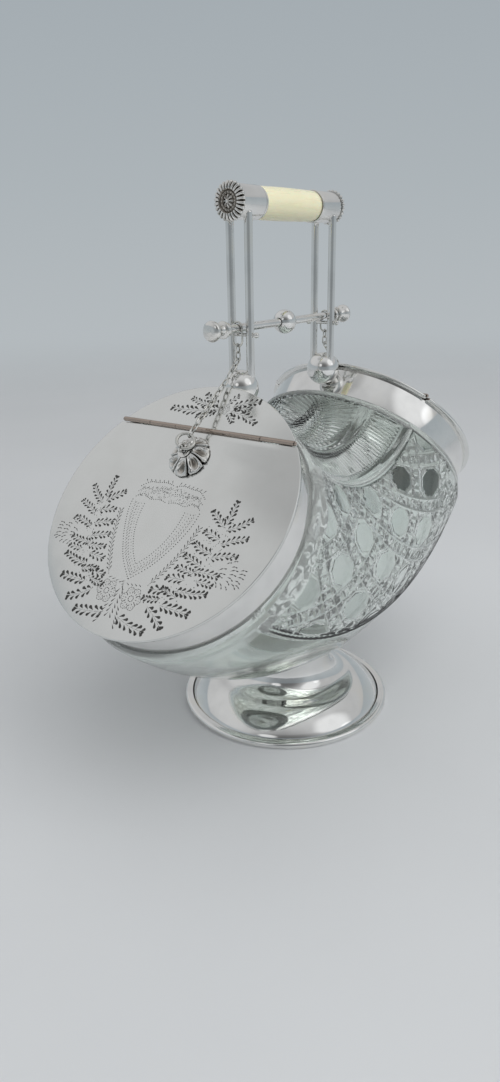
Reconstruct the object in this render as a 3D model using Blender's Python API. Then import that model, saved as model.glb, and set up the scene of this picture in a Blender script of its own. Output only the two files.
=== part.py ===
"""Double-lidded biscuit barrel, in metres, +Z up, origin at the centre of the foot's underside.

A bent glass vessel lies on a spun foot and opens at both ends, where silver-plated collars
face up and outwards. Each mouth has a fixed segment and a hinged lid. Two pairs of upright
rods carry the grip. A bar that slides up between the rods pulls a chain at each end, and the
chains pull both lids open. The left mouth faces -X. The right half is the left half turned
half a turn about +Z, so every piece of a side is drawn once, for the left.
"""
import math

import bmesh
import bpy
from mathutils import Euler, Matrix, Vector
from mathutils.geometry import interpolate_bezier

# Fits shared by all pieces
GAP = 0.0003
OVERRUN = 0.003
MERGE = 0.000005
SHARP_ANGLE = math.radians(32)

# Mouths: the origin of a mouth is the centre of its lid's top face
MOUTH_TILT = math.radians(45)
MOUTH_REACH = 0.0993

# Lids and the fixed segments above them, wider than the collars by an overhang
LID_OVERHANG = 0.0021
LID_THICKNESS = 0.0016
LID_SEGMENTS = 60

# Hinges, across each lid at a share of its radius
HINGE_SHARE = 0.618
HINGE_RISE = 0.0004
KNUCKLE_RADIUS = 0.0012
KNUCKLE_SPLIT_SHARE = 0.504
KNUCKLE_MARGIN = 0.0008
HINGE_PIN_RADIUS = 0.00045
HINGE_HEAD_RADIUS = 0.0009
HINGE_HEAD_LENGTH = 0.0006

# Collars
COLLAR_RADIUS = 0.0654
COLLAR_DEPTH = 0.0197
COLLAR_WALL = 0.0012
COLLAR_LIP = 0.0010
COLLAR_LIP_REACH = 0.0046
COLLAR_SEGMENTS = 44

# Glass vessel: a quarter bend between two straight necks, swelling out below the collars
GLASS_SWELL = 0.0026
GLASS_WALL = 0.0055
NECK_WALL = 0.0042
SHOULDER_ANGLE = math.radians(0.7)
INNER_STEPS = 8
PANEL_RISE = 0.0025
PANEL_START = math.radians(57)
PANEL_ARCH = math.radians(8)
PANEL_END = math.radians(131)
PANEL_LEDGE = math.radians(4)
UNDERSIDE_STEPS = 4

# Cane cutting on the side panels: buttons in staggered rows, and a cut along each diagonal between
# them. On the saddle above, two bands are sunk for finer cutting, with a ridge left between them.
CUT_DEPTH = 0.0010
CUT_START = math.radians(-39.8)
CUT_PITCH = math.radians(11.62)
CUT_COLUMNS = 8
ROW_START = math.radians(78.5)
ROW_PITCH = math.radians(14.5)
CUT_ROWS = 4
LATTICE_FIT = 0.001
BAND_SINK = 0.00045
BAND_SLOPE = math.radians(1.5)
BANDS = ((math.radians(135), math.radians(150.5)), (math.radians(157), math.pi))

# Foot, which lifts the vessel's underside to its own height
FOOT_HEIGHT = 0.0326
FOOT_RADIUS = 0.0627
BEAD_WIDTH = 0.0048
BEAD_HEIGHT = 0.0040
BEAD_FLAT = 0.0022
FOOT_WALL = 0.0012
FOOT_EDGE = 0.0034
FOOT_LIFT = 0.0006
DOME_RADIUS = 0.0400
FOOT_NECK_RADIUS = 0.0270
FOOT_SEGMENTS = 36
CURVE_STEPS = 4

# Handle: balls soldered to the collars, two pairs of rods, stop pins
BALL_RADIUS = 0.0092
BALL_SEAT = 0.0003
BALL_DROP = 0.0098
ROD_RADIUS = 0.00205
ROD_INSET = 0.00143
ROD_HALF_SPREAD = 0.00545
ROD_BALL_DEPTH = 0.0050
STOP_PIN_RADIUS = 0.0009
STOP_BEAD_RADIUS = 0.0014

# Grip, this high above the lift bar, ending this far inside the rods
GRIP_RISE = 0.0566
GRIP_RADIUS = 0.0075
GRIP_CROWN = 0.0003
GRIP_INSET = 0.0140
RING_RADIUS = 0.0081
RING_WIDTH = 0.0013
FERRULE_RADIUS = 0.0079
FERRULE_LENGTH = 0.0174
FERRULE_CHAMFER = 0.0004
ROD_FERRULE_DEPTH = 0.0035
CORE_RADIUS = 0.0017
CORE_CAP_DEPTH = 0.0014
ROSETTE_RADIUS = 0.0090
ROSETTE_THICKNESS = 0.0036
ROSETTE_FLUTES = 24
ROSETTE_FLUTE_DEPTH = 0.0003
ROUND_SEGMENTS = 20
BALL_SEGMENTS = 16
THIN_SEGMENTS = 12

# Lift bar, this high above the balls, with its shoulders this far outside the rods
BAR_RISE = 0.0292
BAR_RADIUS = 0.0021
BAR_OVERHANG = 0.0106
BAR_BALL_RADIUS = 0.00565
SPIGOT_RADIUS = 0.0012
SPIGOT_LENGTH = 0.0075
FINIAL_RADIUS = 0.0046
FINIAL_LENGTH = 0.0140
FINIAL_NECK_RADIUS = 0.0024
HANGER_OFFSET = 0.0028
HANGER_WIRE_RADIUS = 0.0005
HANGER_BEND_RADIUS = 0.0028

# Lid pulls, this far below the hinge
PULL_INSET = 0.0154
PULL_RADIUS = 0.0114
PULL_HEIGHT = 0.0056
PULL_PETALS = 9
PULL_PETAL_STEPS = 4
PULL_FLUTE_DEPTH = 0.0019
EYE_RISE = 0.0085
EYE_BEND_RADIUS = 0.00185
EYE_WIRE_RADIUS = 0.00055
SHANK_RADIUS = 0.0010
NUT_RADIUS = 0.0032
NUT_THICKNESS = 0.0018
NUT_SIDES = 6

# Chains
PULL_RING_RADIUS = 0.00415
PULL_RING_WIRE_RADIUS = 0.00065
PULL_RING_TWIST = math.radians(30)
LINK_WIRE_RADIUS = 0.0004
LINK_BEND_RADIUS = 0.0012
LINK_PITCH = 0.00375
LINK_SEAT = 0.0001
BALL_CLEARANCE = 0.0049
KNEE_CLEARANCE = 0.0010
KNEE_ANGLE = math.radians(150)
WIRE_BEND_STEPS = 6
LINK_BEND_STEPS = 4
WIRE_SIDES = 5

# Heights in the foot, as shares of its height
DOME_HEIGHT_SHARE = 0.46
NECK_HEIGHT_SHARE = 0.92
CEMENT_BASE_SHARE = 0.70

# The hanger, as a share of the bar's height above the balls
HANGER_SHARE = 0.394

# Profiles, as shares of a piece's own radius and length, hand chosen
ROSETTE_SHARES = ((0.96, 0.0), (1.0, 0.25), (0.72, 0.70), (0.46, 0.58), (0.34, 0.95))
ROSETTE_FLUTE_SHARES = (0.0, 1.0, 1.0, 0.3, 0.0)
PULL_SHARES = ((1.0, 0.0), (1.0, 0.16), (0.80, 0.46), (0.54, 0.74), (0.30, 0.90), (0.24, 1.0))
PULL_FLUTE_SHARES = (0.85, 1.0, 0.8, 0.45, 0.12, 0.0)
FINIAL_SHARES = ((0.86, 0.0), (0.86, 0.17), (0.0, 0.22), (0.0, 0.46), (0.55, 0.56), (1.0, 0.64), (1.0, 0.80),
                 (0.80, 0.91), (0.45, 0.98))
DOME_HANDLE_SHARE = 0.62
COVE_HANDLE_SHARE = 0.60

SILVER = ((0.80, 0.79, 0.77), 0.12, 1.0)
SATIN_SILVER = ((0.74, 0.74, 0.72), 0.30, 1.0)
CRYSTAL = ((0.86, 0.92, 0.89), 0.05, 0.0)
IVORY = ((0.87, 0.82, 0.65), 0.35, 0.0)
PLASTER = ((0.78, 0.76, 0.70), 0.90, 0.0)


def clear_scene():
    for thing in list(bpy.data.objects):
        bpy.data.objects.remove(thing, do_unlink=True)


def finish_material(name, finish):
    colour, roughness, metallic = finish
    material = bpy.data.materials.new(name)
    material.use_nodes = True
    shader = material.node_tree.nodes["Principled BSDF"]
    shader.inputs["Base Color"].default_value = (*colour, 1.0)
    shader.inputs["Roughness"].default_value = roughness
    shader.inputs["Metallic"].default_value = metallic
    return material


def add_empty(name, location=(0, 0, 0), rotation=(0, 0, 0), parent=None):
    empty = bpy.data.objects.new(name, None)
    empty.location = location
    empty.rotation_euler = rotation
    empty.parent = parent
    bpy.context.scene.collection.objects.link(empty)
    return empty


def add_object(name, bm, finish, parent=None, location=(0, 0, 0), rotation=(0, 0, 0)):
    """Turn a bmesh into a smooth-shaded object of its own."""
    bmesh.ops.remove_doubles(bm, verts=bm.verts, dist=MERGE)
    bmesh.ops.recalc_face_normals(bm, faces=bm.faces)
    mesh = bpy.data.meshes.new(name)
    bm.to_mesh(mesh)
    bm.free()
    mesh.shade_smooth()
    mesh.set_sharp_from_angle(angle=SHARP_ANGLE)
    item = bpy.data.objects.new(name, mesh)
    item.location = location
    item.rotation_euler = rotation
    item.parent = parent
    bpy.context.scene.collection.objects.link(item)
    if finish is None:
        item.hide_render = True
        item.display_type = "WIRE"
    else:
        mesh.materials.append(finish_material(name, finish))
    return item


def combine(item, tool, operation="DIFFERENCE"):
    change = item.modifiers.new(tool.name, "BOOLEAN")
    change.object = tool
    change.operation = operation
    change.solver = "EXACT"


def turned(profile, segments, axis="Z"):
    """Spin a profile of (radius, height) points, listed round the section, about an axis."""
    bm = bmesh.new()
    points = [bm.verts.new((radius, 0, height)) for radius, height in profile]
    pairs = zip(points, points[1:] + points[:1])
    edges = [bm.edges.new(pair) for pair in pairs if pair[0].co.x > MERGE or pair[1].co.x > MERGE]
    bmesh.ops.spin(bm, geom=points + edges, cent=(0, 0, 0), axis=(0, 0, 1), angle=math.tau,
                   steps=segments, use_merge=True)
    turn = {"X": Matrix.Rotation(math.pi / 2, 4, "Y"), "Y": Matrix.Rotation(-math.pi / 2, 4, "X"),
            "Z": Matrix.Identity(4)}[axis]
    bmesh.ops.transform(bm, matrix=turn, verts=bm.verts)
    return bm


def moved(bm, offset):
    bmesh.ops.translate(bm, vec=Vector(offset), verts=bm.verts)
    return bm


def rod_profile(radius, low, high, chamfer=0.0):
    """Section of a plain cylinder, with its ends broken by a chamfer if one is given."""
    if chamfer == 0:
        return [(0, low), (radius, low), (radius, high), (0, high)]
    return [(0, low), (radius - chamfer, low), (radius, low + chamfer), (radius, high - chamfer),
            (radius - chamfer, high), (0, high)]


def tube_profile(outer, inner, low, high):
    return [(inner, low), (outer, low), (outer, high), (inner, high)]


def arc_points(radius, start, end, steps, centre=(0, 0)):
    angles = [start + (end - start) * step / steps for step in range(steps + 1)]
    return [(centre[0] + radius * math.cos(a), centre[1] + radius * math.sin(a)) for a in angles]


def loft(bm, rings, closed=False, depths=None):
    """Skin rings of points, each with the same count. An open loft gets flat ends.

    depths says how deep each point is cut, and a four-sided face is then folded along its cut.
    """
    loops = [[bm.verts.new(point) for point in ring] for ring in rings]
    count = len(loops[0])
    depths = depths or [[0.0] * count] * len(rings)
    pairs = list(zip(loops, loops[1:], depths, depths[1:]))
    if closed:
        pairs.append((loops[-1], loops[0], depths[-1], depths[0]))
    for near, far, near_depths, far_depths in pairs:
        for k in range(count):
            after = (k + 1) % count
            corners = (near[k], near[after], far[after], far[k])
            a, b, c, d = near_depths[k], near_depths[after], far_depths[after], far_depths[k]
            if a == b == c == d:
                bm.faces.new(corners)
            elif (abs(a - c), -a - c) <= (abs(b - d), -b - d):
                bm.faces.new(corners[:3])
                bm.faces.new((corners[0], corners[2], corners[3]))
            else:
                bm.faces.new(corners[1:])
                bm.faces.new((corners[0], corners[1], corners[3]))
    if not closed:
        bm.faces.new(loops[0][::-1])
        bm.faces.new(loops[-1])


def wire_loop(bm, frame, half_straight, bend_radius, wire_radius, steps, sides):
    """A closed oval of wire in the frame's XY plane, long way along its X, an edge facing in."""
    rings = []
    for end in (1, -1):
        for step in range(steps + 1):
            angle = math.pi * step / steps - math.pi / 2
            outward = Vector((math.cos(angle), math.sin(angle), 0)) * end
            centre = Vector((half_straight * end, 0, 0)) + outward * bend_radius
            if half_straight == 0 and step == steps:
                continue
            ring = []
            for side in range(sides):
                turn = math.pi + math.tau * side / sides
                offset = outward * math.cos(turn) + Vector((0, 0, math.sin(turn)))
                ring.append(frame @ (centre + offset * wire_radius))
            rings.append(ring)
    loft(bm, rings, closed=True)


def plate(outline, low, high):
    """Extrude a flat outline from one height to another."""
    bm = bmesh.new()
    base = bm.faces.new([bm.verts.new((x, y, low)) for x, y in outline])
    grown = bmesh.ops.extrude_face_region(bm, geom=[base])
    top = [v for v in grown["geom"] if isinstance(v, bmesh.types.BMVert)]
    bmesh.ops.translate(bm, vec=(0, 0, high - low), verts=top)
    return bm


def bezier(start, start_handle, end_handle, end, steps):
    knots = [Vector((*point, 0)) for point in (start, start_handle, end_handle, end)]
    return [(point.x, point.y) for point in interpolate_bezier(*knots, steps + 1)]


LID_RADIUS = COLLAR_RADIUS + LID_OVERHANG
HINGE_OFFSET = LID_RADIUS * HINGE_SHARE
KNUCKLE_SPLIT = LID_RADIUS * KNUCKLE_SPLIT_SHARE
PULL_OFFSET = HINGE_OFFSET - PULL_INSET
COLLAR_OPENING = COLLAR_RADIUS - COLLAR_WALL - COLLAR_LIP_REACH
GLASS_RADIUS = COLLAR_RADIUS + GLASS_SWELL

# The bend's centreline runs on from the necks, and the vessel stands on the foot
BEND_RADIUS = MOUTH_REACH / math.sin(MOUTH_TILT) - COLLAR_DEPTH
BEND_CENTRE_HEIGHT = FOOT_HEIGHT + GLASS_RADIUS + BEND_RADIUS
MOUTH_HEIGHT = BEND_CENTRE_HEIGHT + (COLLAR_DEPTH - BEND_RADIUS) * math.cos(MOUTH_TILT)


def mouth_point(uphill, across, outward):
    """A point of the left mouth's own frame, in world coordinates."""
    return Vector((-MOUTH_REACH + uphill * math.cos(MOUTH_TILT) - outward * math.sin(MOUTH_TILT),
                   across,
                   MOUTH_HEIGHT + uphill * math.sin(MOUTH_TILT) + outward * math.cos(MOUTH_TILT)))


LID_UNDERSIDE = -LID_THICKNESS
COLLAR_TOP = LID_UNDERSIDE - GAP
GLASS_TOP = COLLAR_TOP - COLLAR_LIP - GAP
NECK_RADIUS = COLLAR_RADIUS - COLLAR_WALL - GAP
BALL_CENTRE = mouth_point(COLLAR_RADIUS + BALL_RADIUS - BALL_SEAT, 0, -BALL_DROP)
ROD_REACH = -BALL_CENTRE.x - ROD_INSET
GRIP_HALF_LENGTH = ROD_REACH - GRIP_INSET
BAR_HALF_LENGTH = ROD_REACH + BAR_OVERHANG
HANGER_REACH = ROD_REACH + HANGER_OFFSET
BAR_HEIGHT = BALL_CENTRE.z + BAR_RISE
GRIP_HEIGHT = BAR_HEIGHT + GRIP_RISE
HANGER_LENGTH = BAR_RISE * HANGER_SHARE
LINK_LAP = 2 * LINK_WIRE_RADIUS - LINK_SEAT
HINGE_HALF_LENGTH = math.sqrt(LID_RADIUS ** 2 - HINGE_OFFSET ** 2) - KNUCKLE_MARGIN


def panel_start(bend):
    """The panel's lower edge arches up towards the middle of the vessel."""
    return PANEL_START + PANEL_ARCH * (1 - (bend / MOUTH_TILT) ** 2)


def section_angles(bend):
    """Angles round the vessel's section: 0 faces down and out, 180 degrees is the saddle."""
    ledge = PANEL_LEDGE / 2
    underside = panel_start(bend) - ledge
    angles = [underside * step / UNDERSIDE_STEPS for step in range(UNDERSIDE_STEPS + 1)]
    angles += [panel_start(bend) + ledge]
    angles += [ROW_START + ROW_PITCH * half / 2 for half in range(-1, 2 * CUT_ROWS - 1)]
    angles += [PANEL_END - ledge, PANEL_END + ledge]
    (low, high), (top_low, top) = BANDS
    angles += [low, low + BAND_SLOPE, high - BAND_SLOPE, high, top_low, top_low + BAND_SLOPE]
    angles += [(top_low + BAND_SLOPE + top) / 2, top]
    return angles + [math.tau - a for a in reversed(angles[1:-1])]


def panel_height(bend, angle):
    """How far the cut side panel stands out of the plain tube, or a band of the saddle is sunk."""
    side = min(angle, math.tau - angle)
    if side == math.pi or any(low < side < high for low, high in BANDS):
        return -BAND_SINK
    return PANEL_RISE if panel_start(bend) < side < PANEL_END else 0.0


def cut_depth(bend, angle):
    """Depth of the cane cutting where half steps along the rows and between them meet."""
    column = 2 * (bend - CUT_START) / CUT_PITCH
    row = 2 * (min(angle, math.tau - angle) - ROW_START) / ROW_PITCH
    column_step, row_step = round(column), round(row)
    if abs(column - column_step) + abs(row - row_step) > LATTICE_FIT:
        return 0.0
    if not (0 <= column_step <= 2 * CUT_COLUMNS - 2 and -1 <= row_step <= 2 * CUT_ROWS - 2):
        return 0.0
    crossing = column_step % 2 == row_step % 2 == 0 and (column_step + row_step) % 4 == 2
    between = column_step % 2 == row_step % 2 == 1
    return CUT_DEPTH if crossing or between else 0.0


def vessel_ring(bend, rise, radius, panel):
    """One section: bend is its angle along the quarter bend, rise its height up a neck."""
    outward = Vector((math.sin(bend), 0, -math.cos(bend)))
    along = Vector((math.cos(bend), 0, math.sin(bend))) * math.copysign(rise, bend)
    centre = Vector((0, 0, BEND_CENTRE_HEIGHT)) + outward * BEND_RADIUS + along
    points = []
    for angle in section_angles(bend):
        reach = radius + panel * (panel_height(bend, angle) - cut_depth(bend, angle))
        points.append(centre + outward * reach * math.cos(angle) + Vector((0, reach * math.sin(angle), 0)))
    return points


def inner_bends():
    limit = MOUTH_TILT - 4 * SHOULDER_ANGLE
    return [-limit + 2 * limit * step / INNER_STEPS for step in range(INNER_STEPS + 1)]


def outer_bends():
    """Sections of the vessel's outside: its two ends, and every half step of the cutting."""
    limit = MOUTH_TILT - 2 * SHOULDER_ANGLE
    cuts = [CUT_START + CUT_PITCH * half / 2 for half in range(2 * CUT_COLUMNS - 1)]
    return [-limit] + cuts + [limit]


def glass_body():
    neck_rise = COLLAR_DEPTH + GLASS_TOP
    inner = NECK_RADIUS - NECK_WALL
    body_inner = GLASS_RADIUS - GLASS_WALL
    outside = [vessel_ring(-MOUTH_TILT, neck_rise, NECK_RADIUS, 0),
               vessel_ring(-MOUTH_TILT, 0, NECK_RADIUS, 0)]
    outside += [vessel_ring(-MOUTH_TILT + SHOULDER_ANGLE, 0, GLASS_RADIUS - PANEL_RISE / 2, 1)]
    outside += [vessel_ring(bend, 0, GLASS_RADIUS, 1) for bend in outer_bends()]
    outside += [vessel_ring(MOUTH_TILT - SHOULDER_ANGLE, 0, GLASS_RADIUS - PANEL_RISE / 2, 1)]
    outside += [vessel_ring(MOUTH_TILT, 0, NECK_RADIUS, 0),
                vessel_ring(MOUTH_TILT, neck_rise, NECK_RADIUS, 0)]
    inside = [vessel_ring(MOUTH_TILT, neck_rise, inner, 0), vessel_ring(MOUTH_TILT, 0, inner, 0)]
    inside += [vessel_ring(bend, 0, body_inner, 0) for bend in reversed(inner_bends())]
    inside += [vessel_ring(-MOUTH_TILT, 0, inner, 0), vessel_ring(-MOUTH_TILT, neck_rise, inner, 0)]
    plain = [0.0] * len(outside[0])
    cuts = [[cut_depth(bend, angle) for angle in section_angles(bend)] for bend in outer_bends()]
    depths = [plain] * 3 + cuts + [plain] * (3 + len(inside))
    bm = bmesh.new()
    loft(bm, outside + inside, closed=True, depths=depths)
    add_object("glass_body", bm, CRYSTAL)


def glass_cutter():
    """The vessel's underside with a fit all round it, to shape what holds it up."""
    bm = bmesh.new()
    loft(bm, [vessel_ring(bend, 0, GLASS_RADIUS + GAP, 0) for bend in outer_bends()])
    return add_object("glass_seat_cutter", bm, None)


def foot():
    seat = glass_cutter()
    half_height = BEAD_HEIGHT / 2
    bead_centre = FOOT_RADIUS - half_height
    inner = FOOT_RADIUS - BEAD_WIDTH
    bead = [(inner, 0), (bead_centre + BEAD_FLAT / 2, 0)]
    bead += arc_points(half_height, -math.pi / 3, math.pi / 2, CURVE_STEPS, (bead_centre, half_height))
    bead += [(inner, BEAD_HEIGHT)]
    add_object("foot_bead", turned(bead, FOOT_SEGMENTS), SILVER)

    edge = inner - GAP
    rim = (edge, FOOT_EDGE)
    dome = (DOME_RADIUS, FOOT_HEIGHT * DOME_HEIGHT_SHARE)
    neck = (FOOT_NECK_RADIUS, FOOT_HEIGHT * NECK_HEIGHT_SHARE)
    glass_rise = GLASS_RADIUS - math.sqrt(GLASS_RADIUS ** 2 - FOOT_NECK_RADIUS ** 2)
    top = FOOT_HEIGHT + glass_rise + OVERRUN
    dome_rise = (dome[1] - rim[1]) * DOME_HANDLE_SHARE
    dome_run = (rim[0] - dome[0]) * DOME_HANDLE_SHARE
    cove_run = (dome[0] - neck[0]) * COVE_HANDLE_SHARE
    cove_rise = (neck[1] - dome[1]) * COVE_HANDLE_SHARE
    outer = bezier(rim, (rim[0] - dome_run / 2, rim[1] + dome_rise), (dome[0] + dome_run / 2, dome[1] - GAP),
                   dome, CURVE_STEPS)
    outer += bezier(dome, (dome[0] - cove_run, dome[1] + GAP), (neck[0], neck[1] - cove_rise), neck,
                    CURVE_STEPS)[1:]
    outer = [(edge, FOOT_LIFT)] + outer + [(neck[0], top)]
    inside = [(radius - FOOT_WALL, max(height - FOOT_WALL, FOOT_LIFT)) for radius, height in outer[1:-1:2]]
    inside = [(neck[0] - FOOT_WALL, top)] + inside[::-1] + [(edge - FOOT_WALL, FOOT_LIFT)]
    shell = add_object("foot", turned(outer + inside, FOOT_SEGMENTS), SILVER)
    combine(shell, seat)

    cement_radius = FOOT_NECK_RADIUS - FOOT_WALL - GAP
    cement = rod_profile(cement_radius, FOOT_HEIGHT * CEMENT_BASE_SHARE, top)
    bed = add_object("cement_bed", turned(cement, ROUND_SEGMENTS), PLASTER)
    combine(bed, seat)


def lid_outline(edge, reach, split, inside):
    """Half of the round lid cut straight at the hinge, with a tongue under its own knuckles.

    The leaf keeps the part below the hinge and a middle tongue, the fixed segment the part
    above it and a tongue at each end.
    """
    half_chord = math.sqrt(LID_RADIUS ** 2 - edge ** 2)
    start = math.atan2(half_chord, edge)
    if inside:
        sweep = math.tau - 2 * start
        steps = round(LID_SEGMENTS * sweep / math.tau)
        arc = arc_points(LID_RADIUS, start, start + sweep, steps)
        return arc + [(edge, -split), (reach, -split), (reach, split), (edge, split)]
    steps = round(LID_SEGMENTS * start / math.pi)
    arc = arc_points(LID_RADIUS, -start, start, steps)
    end = HINGE_HALF_LENGTH
    return arc + [(edge, end), (reach, end), (reach, split), (edge, split),
                  (edge, -split), (reach, -split), (reach, -end), (edge, -end)]


def knuckle(low, high):
    bm = turned(tube_profile(KNUCKLE_RADIUS, HINGE_PIN_RADIUS + GAP, low, high), THIN_SEGMENTS, "Y")
    return moved(bm, (HINGE_OFFSET, 0, HINGE_RISE))


def pin_cutter(name, parent, location):
    length = HINGE_HALF_LENGTH + OVERRUN
    bm = turned(rod_profile(HINGE_PIN_RADIUS + GAP, -length, length), THIN_SEGMENTS, "Y")
    return add_object(name, bm, None, parent, location)


def hinge_leaves(side, mouth, hinge):
    """The hinged lid, the fixed segment soldered to the collar, and the pin between them."""
    axis = Vector((HINGE_OFFSET, 0, HINGE_RISE))
    cleared = KNUCKLE_RADIUS + GAP
    bore = pin_cutter(f"{side}_pin_cutter", mouth, axis)

    split = KNUCKLE_SPLIT - GAP / 2
    outline = lid_outline(HINGE_OFFSET - cleared, HINGE_OFFSET, split, True)
    leaf = add_object(f"lid_{side}", moved(plate(outline, LID_UNDERSIDE, 0), -axis), SATIN_SILVER, hinge)
    tube = add_object(f"{side}_lid_knuckle_tool", moved(knuckle(-split, split), -axis), None, hinge)
    combine(leaf, tube, "UNION")
    combine(leaf, bore)
    hole = turned(rod_profile(SHANK_RADIUS + GAP, LID_UNDERSIDE - OVERRUN, OVERRUN), THIN_SEGMENTS)
    shank_hole = add_object(f"{side}_shank_cutter", moved(hole, Vector((PULL_OFFSET, 0, 0)) - axis), None, hinge)
    combine(leaf, shank_hole)

    split = KNUCKLE_SPLIT + GAP / 2
    outline = lid_outline(HINGE_OFFSET + cleared, HINGE_OFFSET, split, False)
    segment = add_object(f"fixed_segment_{side}", plate(outline, LID_UNDERSIDE, 0), SATIN_SILVER, mouth)
    for end, low, high in (("front", -HINGE_HALF_LENGTH, -split), ("back", split, HINGE_HALF_LENGTH)):
        tube = add_object(f"{side}_{end}_knuckle_tool", knuckle(low, high), None, mouth)
        combine(segment, tube, "UNION")
    combine(segment, bore)

    reach = HINGE_HALF_LENGTH + GAP
    head = reach + HINGE_HEAD_LENGTH
    pin = [(0, -head), (HINGE_HEAD_RADIUS, -head), (HINGE_HEAD_RADIUS, -reach), (HINGE_PIN_RADIUS, -reach),
           (HINGE_PIN_RADIUS, reach), (HINGE_HEAD_RADIUS, reach), (HINGE_HEAD_RADIUS, head), (0, head)]
    add_object(f"hinge_pin_{side}", turned(pin, THIN_SEGMENTS, "Y"), SILVER, mouth, axis)


def collar(side, mouth):
    wall = COLLAR_RADIUS - COLLAR_WALL
    under_lip = COLLAR_TOP - COLLAR_LIP
    profile = [(wall, -COLLAR_DEPTH), (COLLAR_RADIUS, -COLLAR_DEPTH), (COLLAR_RADIUS, COLLAR_TOP),
               (COLLAR_OPENING, COLLAR_TOP), (COLLAR_OPENING, under_lip), (wall, under_lip)]
    add_object(f"collar_{side}", turned(profile, COLLAR_SEGMENTS), SILVER, mouth)


def collar_cutter(name, mouth):
    bm = turned(rod_profile(COLLAR_RADIUS + GAP, -COLLAR_DEPTH - OVERRUN, OVERRUN), COLLAR_SEGMENTS)
    return add_object(name, bm, None, mouth)


def sphere(radius, segments):
    bm = bmesh.new()
    bmesh.ops.create_uvsphere(bm, u_segments=segments, v_segments=segments // 2, radius=radius)
    return bm


def upright_handle(side, parent, mouth):
    """Ball, pair of rods and stop pin of one side."""
    ball = add_object(f"ball_{side}", sphere(BALL_RADIUS, BALL_SEGMENTS), SILVER, parent, BALL_CENTRE)
    combine(ball, collar_cutter(f"{side}_collar_cutter", mouth))
    foot_height = BALL_CENTRE.z + ROD_BALL_DEPTH / 2
    top_height = GRIP_HEIGHT - ROD_FERRULE_DEPTH
    pin_height = BAR_HEIGHT - BAR_RADIUS - GAP - STOP_PIN_RADIUS

    bead_start = ROD_HALF_SPREAD + ROD_RADIUS + GAP
    bead = arc_points(STOP_BEAD_RADIUS, -math.pi / 2, math.pi / 2, CURVE_STEPS)
    bead = [(x, bead_start + STOP_BEAD_RADIUS + y) for x, y in bead]
    pin = [(0, -bead[-1][1])]
    pin += [(x, -y) for x, y in bead[-2:0:-1]] + [(STOP_PIN_RADIUS, -bead_start), (STOP_PIN_RADIUS, bead_start)]
    pin += bead[1:-1] + [(0, bead[-1][1])]
    add_object(f"stop_pin_{side}", turned(pin, THIN_SEGMENTS, "Y"), SILVER, parent,
               (-ROD_REACH, 0, pin_height))
    drill = turned(rod_profile(STOP_PIN_RADIUS + GAP, -bead_start - OVERRUN, bead_start + OVERRUN),
                   THIN_SEGMENTS, "Y")
    drill = add_object(f"{side}_stop_pin_cutter", drill, None, parent, (-ROD_REACH, 0, pin_height))

    for end, across in (("front", -ROD_HALF_SPREAD), ("back", ROD_HALF_SPREAD)):
        place = (-ROD_REACH, across, 0)
        rod = turned(rod_profile(ROD_RADIUS, foot_height, top_height), THIN_SEGMENTS)
        rod = add_object(f"rod_{side}_{end}", rod, SILVER, parent, place)
        combine(rod, drill)
        socket = turned(rod_profile(ROD_RADIUS + GAP, foot_height - GAP, top_height + GAP), THIN_SEGMENTS)
        socket = add_object(f"{side}_{end}_rod_cutter", socket, None, parent, place)
        combine(ball, socket)
        yield socket


def rosette_rings(radius, thickness, flute):
    """Rings of points of the fluted end cap, from its flat back to its button."""
    rings = []
    count = 2 * ROSETTE_FLUTES
    for (radius_share, height_share), flute_share in zip(ROSETTE_SHARES, ROSETTE_FLUTE_SHARES):
        ring = []
        for step in range(count):
            turn = math.tau * step / count
            sunk = flute * flute_share * (step % 2)
            reach = radius * radius_share
            ring.append((reach * math.cos(turn), reach * math.sin(turn), thickness * height_share - sunk))
        rings.append(ring)
    return rings


def grip_side(side, parent, rod_cutters):
    """Ring, ferrule and fluted end cap of one end of the grip, laid out from the middle."""
    ring_start = GRIP_HALF_LENGTH + GAP
    ring_end = ring_start + RING_WIDTH
    ferrule_start = ring_end + GAP
    ferrule_end = ferrule_start + FERRULE_LENGTH
    cap_start = ferrule_end + GAP
    bore = CORE_RADIUS + GAP
    place = (0, 0, GRIP_HEIGHT)
    outward = (0, -math.pi / 2, 0)

    half = RING_WIDTH / 2
    rim = arc_points(half, -math.pi / 2, math.pi / 2, CURVE_STEPS, (RING_RADIUS - half, ring_start + half))
    add_object(f"grip_ring_{side}", turned([(bore, ring_start)] + rim + [(bore, ring_end)], ROUND_SEGMENTS),
               SILVER, parent, place, outward)

    body = [(bore, ferrule_start), (FERRULE_RADIUS - FERRULE_CHAMFER, ferrule_start),
            (FERRULE_RADIUS, ferrule_start + FERRULE_CHAMFER), (FERRULE_RADIUS, ferrule_end), (bore, ferrule_end)]
    ferrule = add_object(f"ferrule_{side}", turned(body, ROUND_SEGMENTS), SILVER, parent, place, outward)
    for cutter in rod_cutters:
        combine(ferrule, cutter)

    bm = bmesh.new()
    loft(bm, rosette_rings(ROSETTE_RADIUS, ROSETTE_THICKNESS, ROSETTE_FLUTE_DEPTH))
    cap_place = Vector(place) + Vector((-cap_start, 0, 0))
    cap = add_object(f"end_cap_{side}", bm, SILVER, parent, cap_place, outward)
    hole = turned(rod_profile(bore, -OVERRUN, CORE_CAP_DEPTH + GAP), THIN_SEGMENTS)
    combine(cap, add_object(f"{side}_core_cutter", hole, None, parent, cap_place, outward))
    return cap_start + CORE_CAP_DEPTH


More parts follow.
